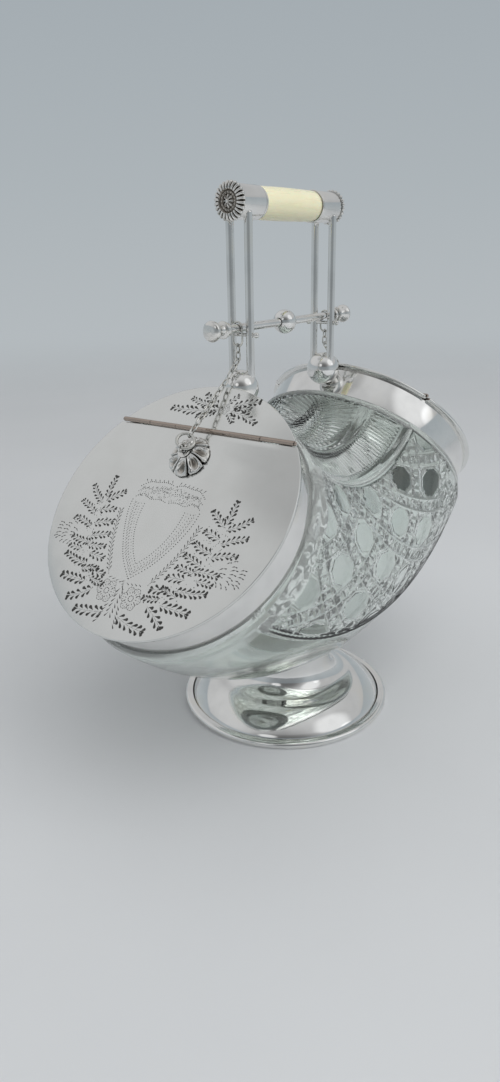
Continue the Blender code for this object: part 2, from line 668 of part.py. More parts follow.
def grip(core_end):
    bore = CORE_RADIUS + GAP
    crown = GRIP_RADIUS + GRIP_CROWN
    handle = [(bore, -GRIP_HALF_LENGTH), (GRIP_RADIUS, -GRIP_HALF_LENGTH), (crown, 0),
              (GRIP_RADIUS, GRIP_HALF_LENGTH), (bore, GRIP_HALF_LENGTH)]
    add_object("grip", turned(handle, ROUND_SEGMENTS, "X"), IVORY, None, (0, 0, GRIP_HEIGHT))
    core = rod_profile(CORE_RADIUS, -core_end, core_end)
    add_object("grip_core", turned(core, THIN_SEGMENTS, "X"), SILVER, None, (0, 0, GRIP_HEIGHT))


def lift_bar(lift):
    shoulder = BAR_HALF_LENGTH
    tip = shoulder + SPIGOT_LENGTH
    bar = [(0, -tip), (SPIGOT_RADIUS, -tip), (SPIGOT_RADIUS, -shoulder), (BAR_RADIUS, -shoulder),
           (BAR_RADIUS, shoulder), (SPIGOT_RADIUS, shoulder), (SPIGOT_RADIUS, tip), (0, tip)]
    add_object("lift_bar", turned(bar, THIN_SEGMENTS, "X"), SILVER, lift)
    ball = add_object("bar_ball", sphere(BAR_BALL_RADIUS, BALL_SEGMENTS), SILVER, lift)
    bore = rod_profile(BAR_RADIUS + GAP, -BAR_BALL_RADIUS - OVERRUN, BAR_BALL_RADIUS + OVERRUN)
    bore = add_object("bar_ball_cutter", turned(bore, THIN_SEGMENTS, "X"), None, lift)
    combine(ball, bore)


def bar_end(side, lift_side):
    """Turned finial and the oval hanger from which a chain starts."""
    bore = SPIGOT_RADIUS + GAP
    start = BAR_HALF_LENGTH + GAP
    depth = start + SPIGOT_LENGTH
    spread = FINIAL_RADIUS - FINIAL_NECK_RADIUS
    profile = [(bore, start)]
    profile += [(FINIAL_NECK_RADIUS + spread * share, start + FINIAL_LENGTH * along)
                for share, along in FINIAL_SHARES]
    profile += [(0, start + FINIAL_LENGTH), (0, depth), (bore, depth)]
    add_object(f"finial_{side}", turned(profile, ROUND_SEGMENTS), SILVER, lift_side, (0, 0, 0), (0, -math.pi / 2, 0))

    bm = bmesh.new()
    top = BAR_RADIUS + GAP + HANGER_WIRE_RADIUS
    centre = Vector((-HANGER_REACH, 0, top - HANGER_LENGTH / 2))
    frame = Matrix.Translation(centre) @ Euler((0, math.pi / 2, 0)).to_matrix().to_4x4()
    wire_loop(bm, frame, HANGER_LENGTH / 2 - HANGER_BEND_RADIUS, HANGER_BEND_RADIUS, HANGER_WIRE_RADIUS,
              WIRE_BEND_STEPS, WIRE_SIDES)
    add_object(f"hanger_{side}", bm, SILVER, lift_side)


def pull(side, hinge):
    """Fluted flower dome, eye bolt through it and the lid, and the nut underneath."""
    axis = Vector((HINGE_OFFSET, 0, HINGE_RISE))
    base = Vector((PULL_OFFSET, 0, GAP)) - axis
    count = PULL_PETALS * PULL_PETAL_STEPS
    rings = []
    for (radius_share, height_share), flute_share in zip(PULL_SHARES, PULL_FLUTE_SHARES):
        ring = []
        for step in range(count):
            turn = math.tau * step / count
            valley = 1 - abs(math.cos(PULL_PETALS * turn / 2))
            reach = PULL_RADIUS * radius_share - PULL_FLUTE_DEPTH * flute_share * valley
            ring.append(base + Vector((reach * math.cos(turn), reach * math.sin(turn), PULL_HEIGHT * height_share)))
        rings.append(ring)
    bm = bmesh.new()
    loft(bm, rings)
    dome = add_object(f"pull_{side}", bm, SILVER, hinge)
    hole = turned(rod_profile(SHANK_RADIUS + GAP, -OVERRUN, PULL_HEIGHT + OVERRUN), THIN_SEGMENTS)
    combine(dome, add_object(f"{side}_pull_cutter", moved(hole, base), None, hinge))

    eye_centre = Vector((PULL_OFFSET, 0, EYE_RISE)) - axis
    bm = bmesh.new()
    frame = Matrix.Translation(eye_centre) @ Matrix.Rotation(math.pi / 2, 4, "X")
    wire_loop(bm, frame, 0, EYE_BEND_RADIUS, EYE_WIRE_RADIUS, WIRE_BEND_STEPS, WIRE_SIDES)
    eye = add_object(f"eye_bolt_{side}", bm, SILVER, hinge)
    nut_top = LID_UNDERSIDE - GAP
    nut_base = nut_top - NUT_THICKNESS
    shank_top = EYE_RISE - EYE_BEND_RADIUS
    shank = turned(rod_profile(SHANK_RADIUS, nut_base - GAP, shank_top), THIN_SEGMENTS)
    shank = moved(shank, Vector((PULL_OFFSET, 0, 0)) - axis)
    combine(eye, add_object(f"{side}_shank_tool", shank, None, hinge), "UNION")

    profile = tube_profile(NUT_RADIUS, SHANK_RADIUS + GAP, nut_base, nut_top)
    nut = moved(turned_nut(profile), Vector((PULL_OFFSET, 0, 0)) - axis)
    add_object(f"lid_nut_{side}", nut, SILVER, hinge)


def turned_nut(profile):
    """A nut: round bore, flat outer sides, drawn as two rings of points at each height."""
    inner = [p for p in profile if p[0] < NUT_RADIUS]
    steps = 2 * NUT_SIDES
    rings = []
    for radius, height in (inner[0], (NUT_RADIUS, profile[0][1]), (NUT_RADIUS, profile[2][1]), inner[1]):
        ring = []
        for step in range(steps):
            turn = math.tau * step / steps
            corner = math.pi / NUT_SIDES
            reach = radius
            if radius == NUT_RADIUS:
                reach = radius * math.cos(corner) / math.cos((turn + corner) % (2 * corner) - corner)
            ring.append((reach * math.cos(turn), reach * math.sin(turn), height))
        rings.append(ring)
    bm = bmesh.new()
    loft(bm, rings, closed=True)
    return bm


def chain_run(name, parent, pivot, heading, first_crown, count, pitch, start_roll):
    """Taut links in a straight run from a pivot. heading is the run's angle in the XZ plane.

    Each link is threaded through the next, a quarter turn round, and seats on it. The links
    with an even place are drawn together, and so are the odd ones, which a union joins to them.
    """
    length = pitch + LINK_LAP
    runs = (bmesh.new(), bmesh.new())
    for index in range(count):
        middle = first_crown + pitch * index + length / 2
        roll = start_roll + (index % 2) * math.pi / 2
        frame = Matrix.Translation((middle, 0, 0)) @ Matrix.Rotation(math.pi / 2 + roll, 4, "X")
        wire_loop(runs[index % 2], frame, length / 2 - LINK_BEND_RADIUS, LINK_BEND_RADIUS, LINK_WIRE_RADIUS,
                  LINK_BEND_STEPS, WIRE_SIDES)
    links = add_object(name, runs[0], SILVER, parent, pivot, (0, -heading, 0))
    combine(links, add_object(f"{name}_tool", runs[1], None, parent, pivot, (0, -heading, 0)), "UNION")


def chain(side, parent):
    """The chain lies in three runs: down from its hanger, over the ball, and along to the pull ring.

    A whole number of links fills each run, so their pitch follows from the run's length.
    """
    half_lap = LINK_WIRE_RADIUS + GAP / 2
    ball_top = BALL_CENTRE.z + BALL_RADIUS
    hanger_foot = BAR_HEIGHT + BAR_RADIUS + GAP + HANGER_WIRE_RADIUS - HANGER_LENGTH
    top = Vector((-HANGER_REACH, 0, hanger_foot))
    first_crown = -(HANGER_WIRE_RADIUS + LINK_WIRE_RADIUS + GAP)
    bend = Vector((-HANGER_REACH, 0, ball_top + BALL_CLEARANCE))
    knee = BALL_CENTRE + (BALL_RADIUS + LINK_BEND_RADIUS + LINK_WIRE_RADIUS + KNEE_CLEARANCE) * Vector(
        (math.cos(KNEE_ANGLE), 0, math.sin(KNEE_ANGLE)))
    eye = mouth_point(PULL_OFFSET, 0, EYE_RISE)

    span = top.z - bend.z + half_lap - first_crown - LINK_LAP
    drop_count = max(1, round(span / LINK_PITCH))
    chain_run(f"chain_{side}_top", parent, top, -math.pi / 2, first_crown, drop_count, span / drop_count, 0)

    run = knee - bend
    span = run.length - LINK_LAP
    count = round(span / LINK_PITCH)
    start_roll = (drop_count % 2) * math.pi / 2
    chain_run(f"chain_{side}_middle", parent, bend, math.atan2(run.z, run.x), -half_lap, count,
              span / count, start_roll)

    run = knee - eye
    heading = math.atan2(run.z, run.x)
    first_crown = 2 * PULL_RING_RADIUS - PULL_RING_WIRE_RADIUS - LINK_WIRE_RADIUS - GAP
    span = run.length - half_lap - first_crown - LINK_LAP
    count = round(span / LINK_PITCH)
    chain_run(f"chain_{side}_lower", parent, eye, heading, first_crown, count, span / count, 0)

    bm = bmesh.new()
    frame = Matrix.Rotation(-PULL_RING_TWIST, 4, "X") @ Matrix.Translation((PULL_RING_RADIUS, 0, 0))
    wire_loop(bm, frame, 0, PULL_RING_RADIUS, PULL_RING_WIRE_RADIUS, WIRE_BEND_STEPS, WIRE_SIDES)
    add_object(f"pull_ring_{side}", bm, SILVER, parent, eye, (0, -heading, 0))
    return top, bend, knee, eye


def build():
    clear_scene()
    glass_body()
    foot()
    core_end = 0.0
    lift = add_empty("lift", (0, 0, BAR_HEIGHT))
    lift_bar(lift)
    hinge_place = (HINGE_OFFSET, 0, HINGE_RISE)
    for side, turn in (("left", 0.0), ("right", math.pi)):
        half = add_empty(f"{side}_half", (0, 0, 0), (0, 0, turn))
        lift_half = add_empty(f"{side}_lift", (0, 0, 0), (0, 0, turn), lift)
        mouth = add_empty(f"{side}_mouth", (-MOUTH_REACH, 0, MOUTH_HEIGHT), (0, -MOUTH_TILT, 0), half)
        hinge = add_empty(f"{side}_hinge", hinge_place, (0, 0, 0), mouth)
        collar(side, mouth)
        hinge_leaves(side, mouth, hinge)
        pull(side, hinge)
        cutters = list(upright_handle(side, half, mouth))
        core_end = grip_side(side, half, cutters)
        bar_end(side, lift_half)
        chain(side, half)
    grip(core_end)


build()
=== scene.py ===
"""Looks of the double-lidded biscuit barrel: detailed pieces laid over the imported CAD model.

Lengths are in millimetres until an object is made, and in metres from then on. The left mouth
faces -X. Every piece of a side is drawn for the left and turned half a turn about +Z for the
right.
"""
import random
from math import acos, asin, atan2, copysign, cos, exp, floor, pi, radians, sin, sqrt, tau as TAU

import bmesh
import bpy
import numpy as np
from mathutils import Matrix, Vector


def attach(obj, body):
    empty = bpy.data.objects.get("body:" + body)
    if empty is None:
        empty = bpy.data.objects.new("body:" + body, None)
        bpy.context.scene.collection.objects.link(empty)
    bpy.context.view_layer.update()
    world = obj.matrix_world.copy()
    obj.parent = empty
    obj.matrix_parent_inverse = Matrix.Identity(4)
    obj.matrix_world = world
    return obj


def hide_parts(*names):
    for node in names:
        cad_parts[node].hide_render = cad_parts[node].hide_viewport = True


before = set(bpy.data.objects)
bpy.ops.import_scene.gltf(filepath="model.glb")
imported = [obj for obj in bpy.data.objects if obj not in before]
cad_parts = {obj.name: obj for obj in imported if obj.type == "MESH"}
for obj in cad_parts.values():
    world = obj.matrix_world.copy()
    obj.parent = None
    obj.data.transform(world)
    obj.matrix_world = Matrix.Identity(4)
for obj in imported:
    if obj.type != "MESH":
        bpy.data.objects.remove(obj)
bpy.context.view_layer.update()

MM = 0.001
QUARTER = pi / 2
GAP = 0.3

# Frame of the left mouth: u uphill, v towards +Y, n outwards, from the centre of the lid's top face
TILT = radians(45)
MOUTH = Matrix.Translation((-99.3, 0.0, 149.891)) @ Matrix.Rotation(-TILT, 4, "Y")
LID_RADIUS = 67.5
LID_THICK = 1.6
HINGE_U = 41.715
HINGE_N = 0.4
HINGE_HALF = 52.27
KNUCKLE_R = 1.2
KNUCKLE_BORE = 0.75
KNUCKLE_SPLIT = 34.02
KNUCKLE_LENGTH = 17.0
HINGE = Matrix.Translation((HINGE_U, 0, HINGE_N)) @ Matrix.Rotation(-QUARTER, 4, "X")

COLLAR_R = 65.4
COLLAR_WALL = 1.2
COLLAR_TOP = -1.9
COLLAR_BASE = -19.7
COLLAR_LIP = 1.0
COLLAR_OPENING = 59.6

# Vessel: a tube bent round an axis along Y at height BEND_Z
BEND_R = 120.731
BEND_Z = 221.331
GLASS_R = 68.0
GLASS_INNER = 62.5
GLASS_TOP = -3.2
NECK_R = 63.9
NECK_INNER = 59.7

# Foot: (radius, height) points of its edge, and Bezier points of its dome and of its neck
FOOT_EDGE = [(57.6, 0.6), (57.6, 2.6), (57.3, 3.3)]
FOOT_DOME = (57.6, 3.4), (52.144, 10.592), (45.456, 14.7), (40.0, 15.0)
FOOT_NECK = (40.0, 15.0), (32.2, 15.3), (27.0, 21.0), (27.0, 30.0)
FOOT_WALL = 1.2
FOOT_TOP = 37.4
BEAD_R, BEAD_REACH = 2.0, 60.7
CEMENT_R = 25.5

BALL = Vector((-39.832, 0.0, 195.500))
BALL_R = 9.2
ROD_X = 38.40
ROD_Y = 5.45
ROD_R = 2.05
ROD_LOW, ROD_HIGH = 198.0, 277.8
BAR_Z = 224.70
BAR_R = 2.1
BAR_HALF = 49.0
BAR_BALL_R = 6.2
KNOB_NECK, KNOB_R, KNOB_LENGTH = 2.4, 4.6, 14.0
KNOB_BORE, KNOB_DEPTH = 1.5, 7.5
STOP_R, STOP_HEAD_R = 0.9, 1.4

GRIP_Z = 281.30
GRIP_R = 7.5
GRIP_HALF = 24.4
GRIP_BORE = 2.0
BAND_START, BAND_LENGTH = 24.7, 1.3
FERRULE_R = 7.9
FERRULE_START, FERRULE_END = 26.3, 43.7
ROSETTE_START, ROSETTE_R, ROSETTE_HEIGHT = 44.0, 9.0, 3.6
CORE_R, CORE_HALF = 1.7, 45.4

PULL_U = 26.315
PULL_R = 11.4
PULL_HEIGHT = 5.6
PULL_BORE = 1.3
EYE_N = 8.5
EYE_R, EYE_WIRE = 1.85, 0.55

# Chain: its pivots at rest, from the hanger's loop down to the eye of the pull
POINT_A = Vector((-41.2, 0.0, 216.095))
POINT_M = Vector((-41.2, 0.0, 209.600))
POINT_K = Vector((-50.051, 0.0, 201.400))
POINT_E = Vector((-86.703, 0.0, 174.509))
LINK_BEND, LINK_WIRE, LINK_OVERLAP = 1.2, 0.39, 0.7
HANGER_LENGTH, HANGER_BEND, HANGER_WIRE = 11.505, 2.8, 0.5
RING_R, RING_WIRE = 4.15, 0.65
RING_TWIST = radians(30)


# ---- mesh helpers

def unit(angle):
    return Vector((cos(angle), sin(angle)))


def heading(step):
    return atan2(step.y, step.x)


def level(height, turn=QUARTER):
    """From a frame whose Z lies along X, or along -X for a turn of the other sign."""
    return Matrix.Translation((0, 0, height)) @ Matrix.Rotation(turn, 4, "Y")


def make(name, bm, look, node=None, side="", matrix=Matrix.Identity(4), body="vessel", sharp=35.0,
         merge=1e-4):
    """Turn a bmesh in millimetres into a piece of the scene, on its body. look is its material and its slot's
    name, which is not used, and @ in a name stands for the side."""
    name, node, body = (text and text.replace("@", side) for text in (name, node, body))
    if merge:
        bmesh.ops.remove_doubles(bm, verts=bm.verts, dist=merge)
    bmesh.ops.recalc_face_normals(bm, faces=bm.faces)
    turn = Matrix.Rotation(pi if side == "right" else 0.0, 4, "Z")
    bmesh.ops.transform(bm, matrix=Matrix.Scale(MM, 4) @ turn @ matrix, verts=bm.verts)
    mesh = bpy.data.meshes.new(name)
    bm.to_mesh(mesh)
    bm.free()
    mesh.shade_smooth()
    mesh.set_sharp_from_angle(angle=radians(sharp))
    item = bpy.data.objects.new(name, mesh)
    bpy.context.scene.collection.objects.link(item)
    material, slot = look
    mesh.materials.append(material)
    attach(item, body)
    if node:
        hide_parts(node)
    return item


def paint(item, name, values):
    """Give a piece one number per point, read by its material."""
    layer = item.data.attributes.new(name, "FLOAT", "POINT")
    layer.data.foreach_set("value", np.asarray(values, dtype=np.float32).ravel())


def arc(x, y, radius, start, end, count, rise=None):
    """Points on the arc of a circle about (x, y), or of an ellipse that is rise high."""
    return [(x + radius * cos(a), y + (rise or radius) * sin(a))
            for a in np.linspace(start, end, count)]


def circle(radius, height, count, middle=(0.0, 0.0)):
    return [(middle[0] + radius * cos(TAU * k / count),
             middle[1] + radius * sin(TAU * k / count), height) for k in range(count)]


def bridge(bm, near, far):
    """Faces between two rings of points, of which either may be a single point on the axis."""
    count = max(len(near), len(far))
    for k in range(count if count > 1 else 0):
        after = (k + 1) % count
        if len(near) == 1:
            bm.faces.new((near[0], far[after], far[k]))
        elif len(far) == 1:
            bm.faces.new((near[k], near[after], far[0]))
        else:
            bm.faces.new((near[k], near[after], far[after], far[k]))


def skin(bm, rings, closed=False):
    """Skin rings of points. They form a closed loop, or the first and the last are capped."""
    loops = [[bm.verts.new(point) for point in ring] for ring in rings]
    for near, far in zip(loops, loops[1:] + (loops[:1] if closed else [])):
        bridge(bm, near, far)
    if not closed:
        bm.faces.new(loops[0][::-1])
        bm.faces.new(loops[-1])
    return bm


def spun(profile, segments, matrix=Matrix.Identity(4), bm=None):
    """A turned body, from a loop of (radius, height) points which may touch the axis."""
    bm = bm or bmesh.new()
    rings = [circle(r, z, segments) if r > 1e-6 else [(0, 0, z)] for r, z in profile]
    first = len(bm.verts)
    skin(bm, rings, closed=True)
    bm.verts.ensure_lookup_table()
    bmesh.ops.transform(bm, matrix=matrix, verts=bm.verts[first:])
    return bm


def rounded(profile, radius, steps):
    """Round each corner of a profile of (radius, height) points, except on the axis."""
    out = []
    for i, point in enumerate(profile):
        if point[0] == 0:
            out.append(point)
            continue
        p = Vector(point)
        a, b = Vector(profile[i - 1]) - p, Vector(profile[(i + 1) % len(profile)]) - p
        cut = min(radius, a.length * 0.45, b.length * 0.45)
        start, end = p + a.normalized() * cut, p + b.normalized() * cut
        for step in range(steps + 1):
            t = step / steps
            out.append(tuple(start * (1 - t) ** 2 + p * 2 * t * (1 - t) + end * t * t))
    return out


def wire(bm, points, radius, sides=12):
    """A closed loop of round wire along points, its section carried along without twist."""
    count = len(points)
    tangents = [(points[(i + 1) % count] - points[i - 1]).normalized() for i in range(count)]
    normal = tangents[0].orthogonal().normalized()
    rings = []
    for p, tangent in zip(points, tangents):
        normal = (normal - tangent * normal.dot(tangent)).normalized()
        side = tangent.cross(normal)
        rings.append([p + (normal * cos(a) + side * sin(a)) * radius
                      for a in (TAU * k / sides for k in range(sides))])
    # spread the turn left over after one round along the whole wire
    tangent = tangents[0]
    carried = (normal - tangent * normal.dot(tangent)).normalized()
    first = (rings[0][0] - points[0]).normalized()
    turn = atan2(tangent.dot(carried.cross(first)), carried.dot(first))
    for i, (p, axis) in enumerate(zip(points, tangents)):
        spin = Matrix.Rotation(turn * i / count, 3, axis)
        rings[i] = [p + spin @ (q - p) for q in rings[i]]
    return skin(bm, rings, closed=True)


def oval(frame_matrix, half_straight, bend_radius, steps):
    """Centreline of an oval link in the XY plane of a frame, long way along its X."""
    points = []
    for end in (1, -1):
        for step in range(steps + (half_straight > 0)):
            outward = unit(pi * step / steps - QUARTER).to_3d() * end
            points.append(frame_matrix @ (Vector((half_straight * end, 0, 0)) + outward * bend_radius))
    return points


def bezier(corners, steps):
    points = []
    for k in range(steps + 1):
        t = k / steps
        w = ((1 - t) ** 3, 3 * t * (1 - t) ** 2, 3 * t * t * (1 - t), t ** 3)
        points.append(tuple(sum(w[j] * q[i] for j, q in enumerate(corners)) for i in range(2)))
    return points


def curve(points, steps):
    """Catmull-Rom path through 2-D points."""
    path = []
    last = len(points) - 1
    for i in range(last):
        p = [Vector(points[min(max(j, 0), last)]) for j in range(i - 1, i + 3)]
        for step in range(steps):
            t = step / steps
            q = 0.5 * ((2 * p[1]) + (p[2] - p[0]) * t + (2 * p[0] - 5 * p[1] + 4 * p[2] - p[3]) * t * t
                       + (3 * p[1] - p[0] - 3 * p[2] + p[3]) * t ** 3)
            path.append((q.x, q.y))
    path.append(tuple(points[-1]))
    return path


def shaped(count, rows, form):
    """Rings of points, one for each row, and a painted shade for each point, darkest in hollows. form(turn, *row)
    gives a point's radius, height and painted shade."""
    rings, hollow_shades = [], []
    for row in rows:
        points = [(turn, *form(turn, *row)) for turn in (TAU * k / count for k in range(count))]
        rings.append([(r * cos(turn), r * sin(turn), z) for turn, r, z, _ in points])
        hollow_shades.append([dark for *_, dark in points])
    return rings, hollow_shades


def off_middle(turns):
    """0 in the middle of each whole turn, 1 between two."""
    return abs(2 * (turns - floor(turns)) - 1)


# ---- materials

class Nodes:
    """Short way to write a node tree."""

    def __init__(self, owner, coordinates="Object"):
        owner.use_nodes = True
        self.owner, self.tree = owner, owner.node_tree
        self.shader = self.tree.nodes.get("Principled BSDF")
        self.place = self.add("TexCoord").outputs[coordinates]

    def feed(self, socket, value):
        if isinstance(value, bpy.types.NodeSocket):
            self.tree.links.new(value, socket)
        elif value is not None:
            socket.default_value = value

    def add(self, kind, *feeds, **settings):
        """Add a node. feeds go into its first sockets, settings into its properties or sockets."""
        node = self.tree.nodes.new("ShaderNode" + kind)
        for key, value in settings.items():
            if hasattr(node, key):
                setattr(node, key, value)
            else:
                self.feed(node.inputs[key], value)
        for socket, value in zip(node.inputs, feeds):
            self.feed(socket, value)
        return node

    def set(self, **values):
        for key, value in values.items():
            self.feed(self.shader.inputs[key.replace("_", " ")], value)

    def scaled(self, scale):
        return self.add("Mapping", self.place, Scale=scale).outputs["Vector"]

    def noise(self, scale, detail=4.0, vector=None, **more):
        return self.add("TexNoise", vector or self.place, Scale=scale, Detail=detail, **more).outputs["Fac"]

    def spread(self, value, *numbers, smooth=False):
        """Map a value from one range to another: from low, from high, to low, to high."""
        kind = "SMOOTHSTEP" if smooth else "LINEAR"
        return self.add("MapRange", value, *numbers, interpolation_type=kind).outputs["Result"]

    def ramp(self, value, *stops):
        node = self.add("ValToRGB", value)
        elements = node.color_ramp.elements
        while len(elements) < len(stops):
            elements.new(0.5)
        for element, (place, colour) in zip(elements, stops):
            element.position = place
            element.color = (*colour, 1.0)
        return node.outputs["Color"]

    def mix(self, a, b, factor=1.0, blend="MULTIPLY"):
        node = self.add("Mix", factor, *[None] * 5, a, b, data_type="RGBA", blend_type=blend)
        return node.outputs[2]

    def point_value(self, name):
        return self.add("Attribute", attribute_name=name).outputs["Fac"]

    def maths(self, operation, a, b):
        return self.add("Math", a, b, operation=operation).outputs[0]

    def vectors(self, operation, output, *inputs):
        return self.add("VectorMath", *inputs, operation=operation).outputs[output]

    def look(self, slot, colour, roughness, height, strength, distance):
        """Wire up colour, roughness and a bump, and give the material with its slot's name."""
        bump = self.add("Bump", Height=height, Strength=strength, Distance=distance)
        self.set(Base_Color=colour, Roughness=roughness, Normal=bump.outputs["Normal"])
        return self.owner, slot


def new_material(name, **constants):
    n = Nodes(bpy.data.materials.new(name))
    n.set(**constants)
    return n


def silver(name, low, high, colour, scratch, stretch=(1, 1, 1), tarnish_and_crevice_shade=0.0, slot="silver_plate"):
    """Silver plate: slightly uneven colour, patchy polish, fine wiping marks, and crevices darkened partly by
    tarnish and partly by painted shade.
    """
    n = new_material(name, Metallic=1.0)
    dark = tuple(c * 0.90 for c in colour)
    warm = (min(colour[0] * 1.015, 1), colour[1] * 0.995, colour[2] * 0.955)
    base = n.ramp(n.noise(55.0, 3.0), (0.32, dark), (0.55, colour), (0.75, warm))
    if tarnish_and_crevice_shade:
        # painted shade: ambient occlusion darkens the crevices where shade falls, and stands in partly for
        # tarnish there
        near = n.add("AmbientOcclusion", samples=8, Distance=0.0022).outputs["AO"]
        base = n.mix(base, n.spread(near, 0.25, 0.85, 1 - tarnish_and_crevice_shade, 1.0))
        # painted shade: the hollow value the pieces paint darkens their flutes, spoons and grooves to near black,
        # partly as tarnish in those hollows
        base = n.mix(base, n.ramp(n.point_value("hollow"), (0.0, (1, 1, 1)), (0.5, (0.50, 0.47, 0.43)),
                                  (1.0, (0.10, 0.085, 0.075))))
    rubbed = n.noise(420.0, 5.0, n.scaled(stretch), Roughness=0.62)
    fine = n.noise(2600.0, 2.0, n.scaled(stretch))
    return n.look(slot, base, n.spread(rubbed, 0.3, 0.75, low, high), fine, scratch, 0.00006)


def satin():
    """Lid plate: burnished, with a soft even stipple and slight cloudiness."""
    n = new_material("satin_plate", Metallic=1.0)
    base = n.ramp(n.noise(34.0), (0.30, (0.775, 0.775, 0.755)), (0.52, (0.815, 0.818, 0.80)),
                  (0.74, (0.795, 0.795, 0.775)))
    rubbed = n.spread(n.noise(260.0, 5.0, Roughness=0.6), 0.3, 0.72, 0.12, 0.19)
    return n.look("engraved_plate", base, rubbed, n.noise(1400.0, 2.0), 0.015, 0.00003)


def engraved():
    n = new_material("engraving", Metallic=0.85)
    # painted shade and painted reflection: the cut lines are coloured near black for grooves that the raised
    # slivers don't cut, mottled at random
    groove_shade_mottle = n.noise(1500.0)
    base = n.ramp(groove_shade_mottle, (0.30, (0.045, 0.044, 0.042)), (0.60, (0.10, 0.098, 0.093)),
                  (0.8, (0.20, 0.195, 0.185)))
    return n.look("engraved_plate", base, n.spread(groove_shade_mottle, 0.3, 0.7, 0.30, 0.55), n.noise(7000.0, 2.0), 0.2,
                  0.00003)


def crystal():
    """Clear lead glass, faintly green, polished on its buttons and frosty in its cuts."""
    n = new_material("crystal", IOR=1.53)
    streaks = n.noise(26.0, 3.0, n.scaled((1, 1, 2.2)), Distortion=0.4)
    base = n.ramp(streaks, (0.30, (0.900, 0.955, 0.915)), (0.55, (0.935, 0.975, 0.945)),
                  (0.8, (0.960, 0.988, 0.968)))
    wear = n.spread(n.noise(700.0), 0.35, 0.75, 0.0, 0.03)
    frost = n.point_value("frost")
    n.set(Transmission_Weight=n.spread(frost, 0.2, 0.65, 1.0, 0.70))
    rough = n.maths("ADD", wear, n.spread(frost, 0.0, 1.0, 0.0, 0.24))
    return n.look("cut_glass", base, rough, n.noise(160.0, 2.0), 0.05, 0.0003)


def ivory():
    """Cream grip with faint long grain lines, polished and a little see-through."""
    n = new_material("ivory", Subsurface_Weight=0.10, Subsurface_Scale=0.002, Coat_Weight=0.2,
                     Coat_Roughness=0.12)
    grain = n.noise(1.0, 5.0, n.scaled((45.0, 620.0, 620.0)), Roughness=0.55, Distortion=0.2)
    base = n.ramp(grain, (0.25, (0.88, 0.825, 0.535)), (0.50, (0.925, 0.875, 0.590)),
                  (0.75, (0.94, 0.90, 0.625)))
    tone = n.ramp(n.noise(60.0, 3.0), (0.30, (0.885, 0.830, 0.565)), (0.65, (0.93, 0.885, 0.635)))
    return n.look("ivory", n.mix(base, tone, 0.5, "MIX"), n.spread(grain, 0.3, 0.7, 0.24, 0.34), grain, 0.03,
                  0.00004)


def plaster():
    n = new_material("cement")
    lumps = n.noise(900.0, 6.0)
    base = n.ramp(lumps, (0.3, (0.60, 0.58, 0.52)), (0.6, (0.78, 0.76, 0.70)), (0.8, (0.85, 0.83, 0.78)))
    return n.look("plaster", base, n.spread(lumps, 0.3, 0.7, 0.75, 0.95), lumps, 0.5, 0.0003)


SILVER = silver("silver", 0.05, 0.11, (0.86, 0.855, 0.84), 0.02)
WORN_SILVER = silver("worn_silver", 0.06, 0.15, (0.83, 0.82, 0.795), 0.04, tarnish_and_crevice_shade=0.80)
CHAIN_SILVER = silver("chain_silver", 0.10, 0.22, (0.74, 0.73, 0.69), 0.05, tarnish_and_crevice_shade=0.65)
# brownish plate: its brown is the hinge's own tone, and its darkness is partly painted dark reflection
HINGE_PLATE = silver("hinge_plate", 0.05, 0.12, (0.45, 0.375, 0.325), 0.03, tarnish_and_crevice_shade=0.85)
SATIN, ENGRAVED, CRYSTAL, IVORY, CEMENT = satin(), engraved(), crystal(), ivory(), plaster()
CORE = silver("drawn_core", 0.28, 0.42, (0.56, 0.56, 0.56), 0.15, (0.15, 1, 1), slot="steel_core")


# ---- glass vessel

# The cutting: angles in degrees along the bend and round the section, depths in millimetres
CUT_START, CUT_PITCH = -39.8, 11.62
ROW_START, ROW_PITCH = 78.5, 14.5
CUT_WIDTHS = 48.8, 35.7, 28.8      # in millimetres for each unit along, round and aslant
PAIR_HALF = 0.13
BUTTON_HALF = 10.2, 7.3
PANEL_RISE = 2.40
PANEL_END = 131.0
LEDGE = 4.0
BAND_SINK = 0.45
ARC_SCALE = 1.187      # millimetres for each degree round the section, in the arcs
SHOULDER = radians(1.5)


def smoothstep(a, b, x):
    t = np.clip((x - a) / (b - a), 0, 1)
    return t * t * (3 - 2 * t)


def valley(distance, half_width, depth):
    """A mitre cut: straight sides down to a line."""
    return -depth * np.clip(1 - np.abs(distance) / half_width, 0, 1)


def wrap(x):
    return x - np.round(x)


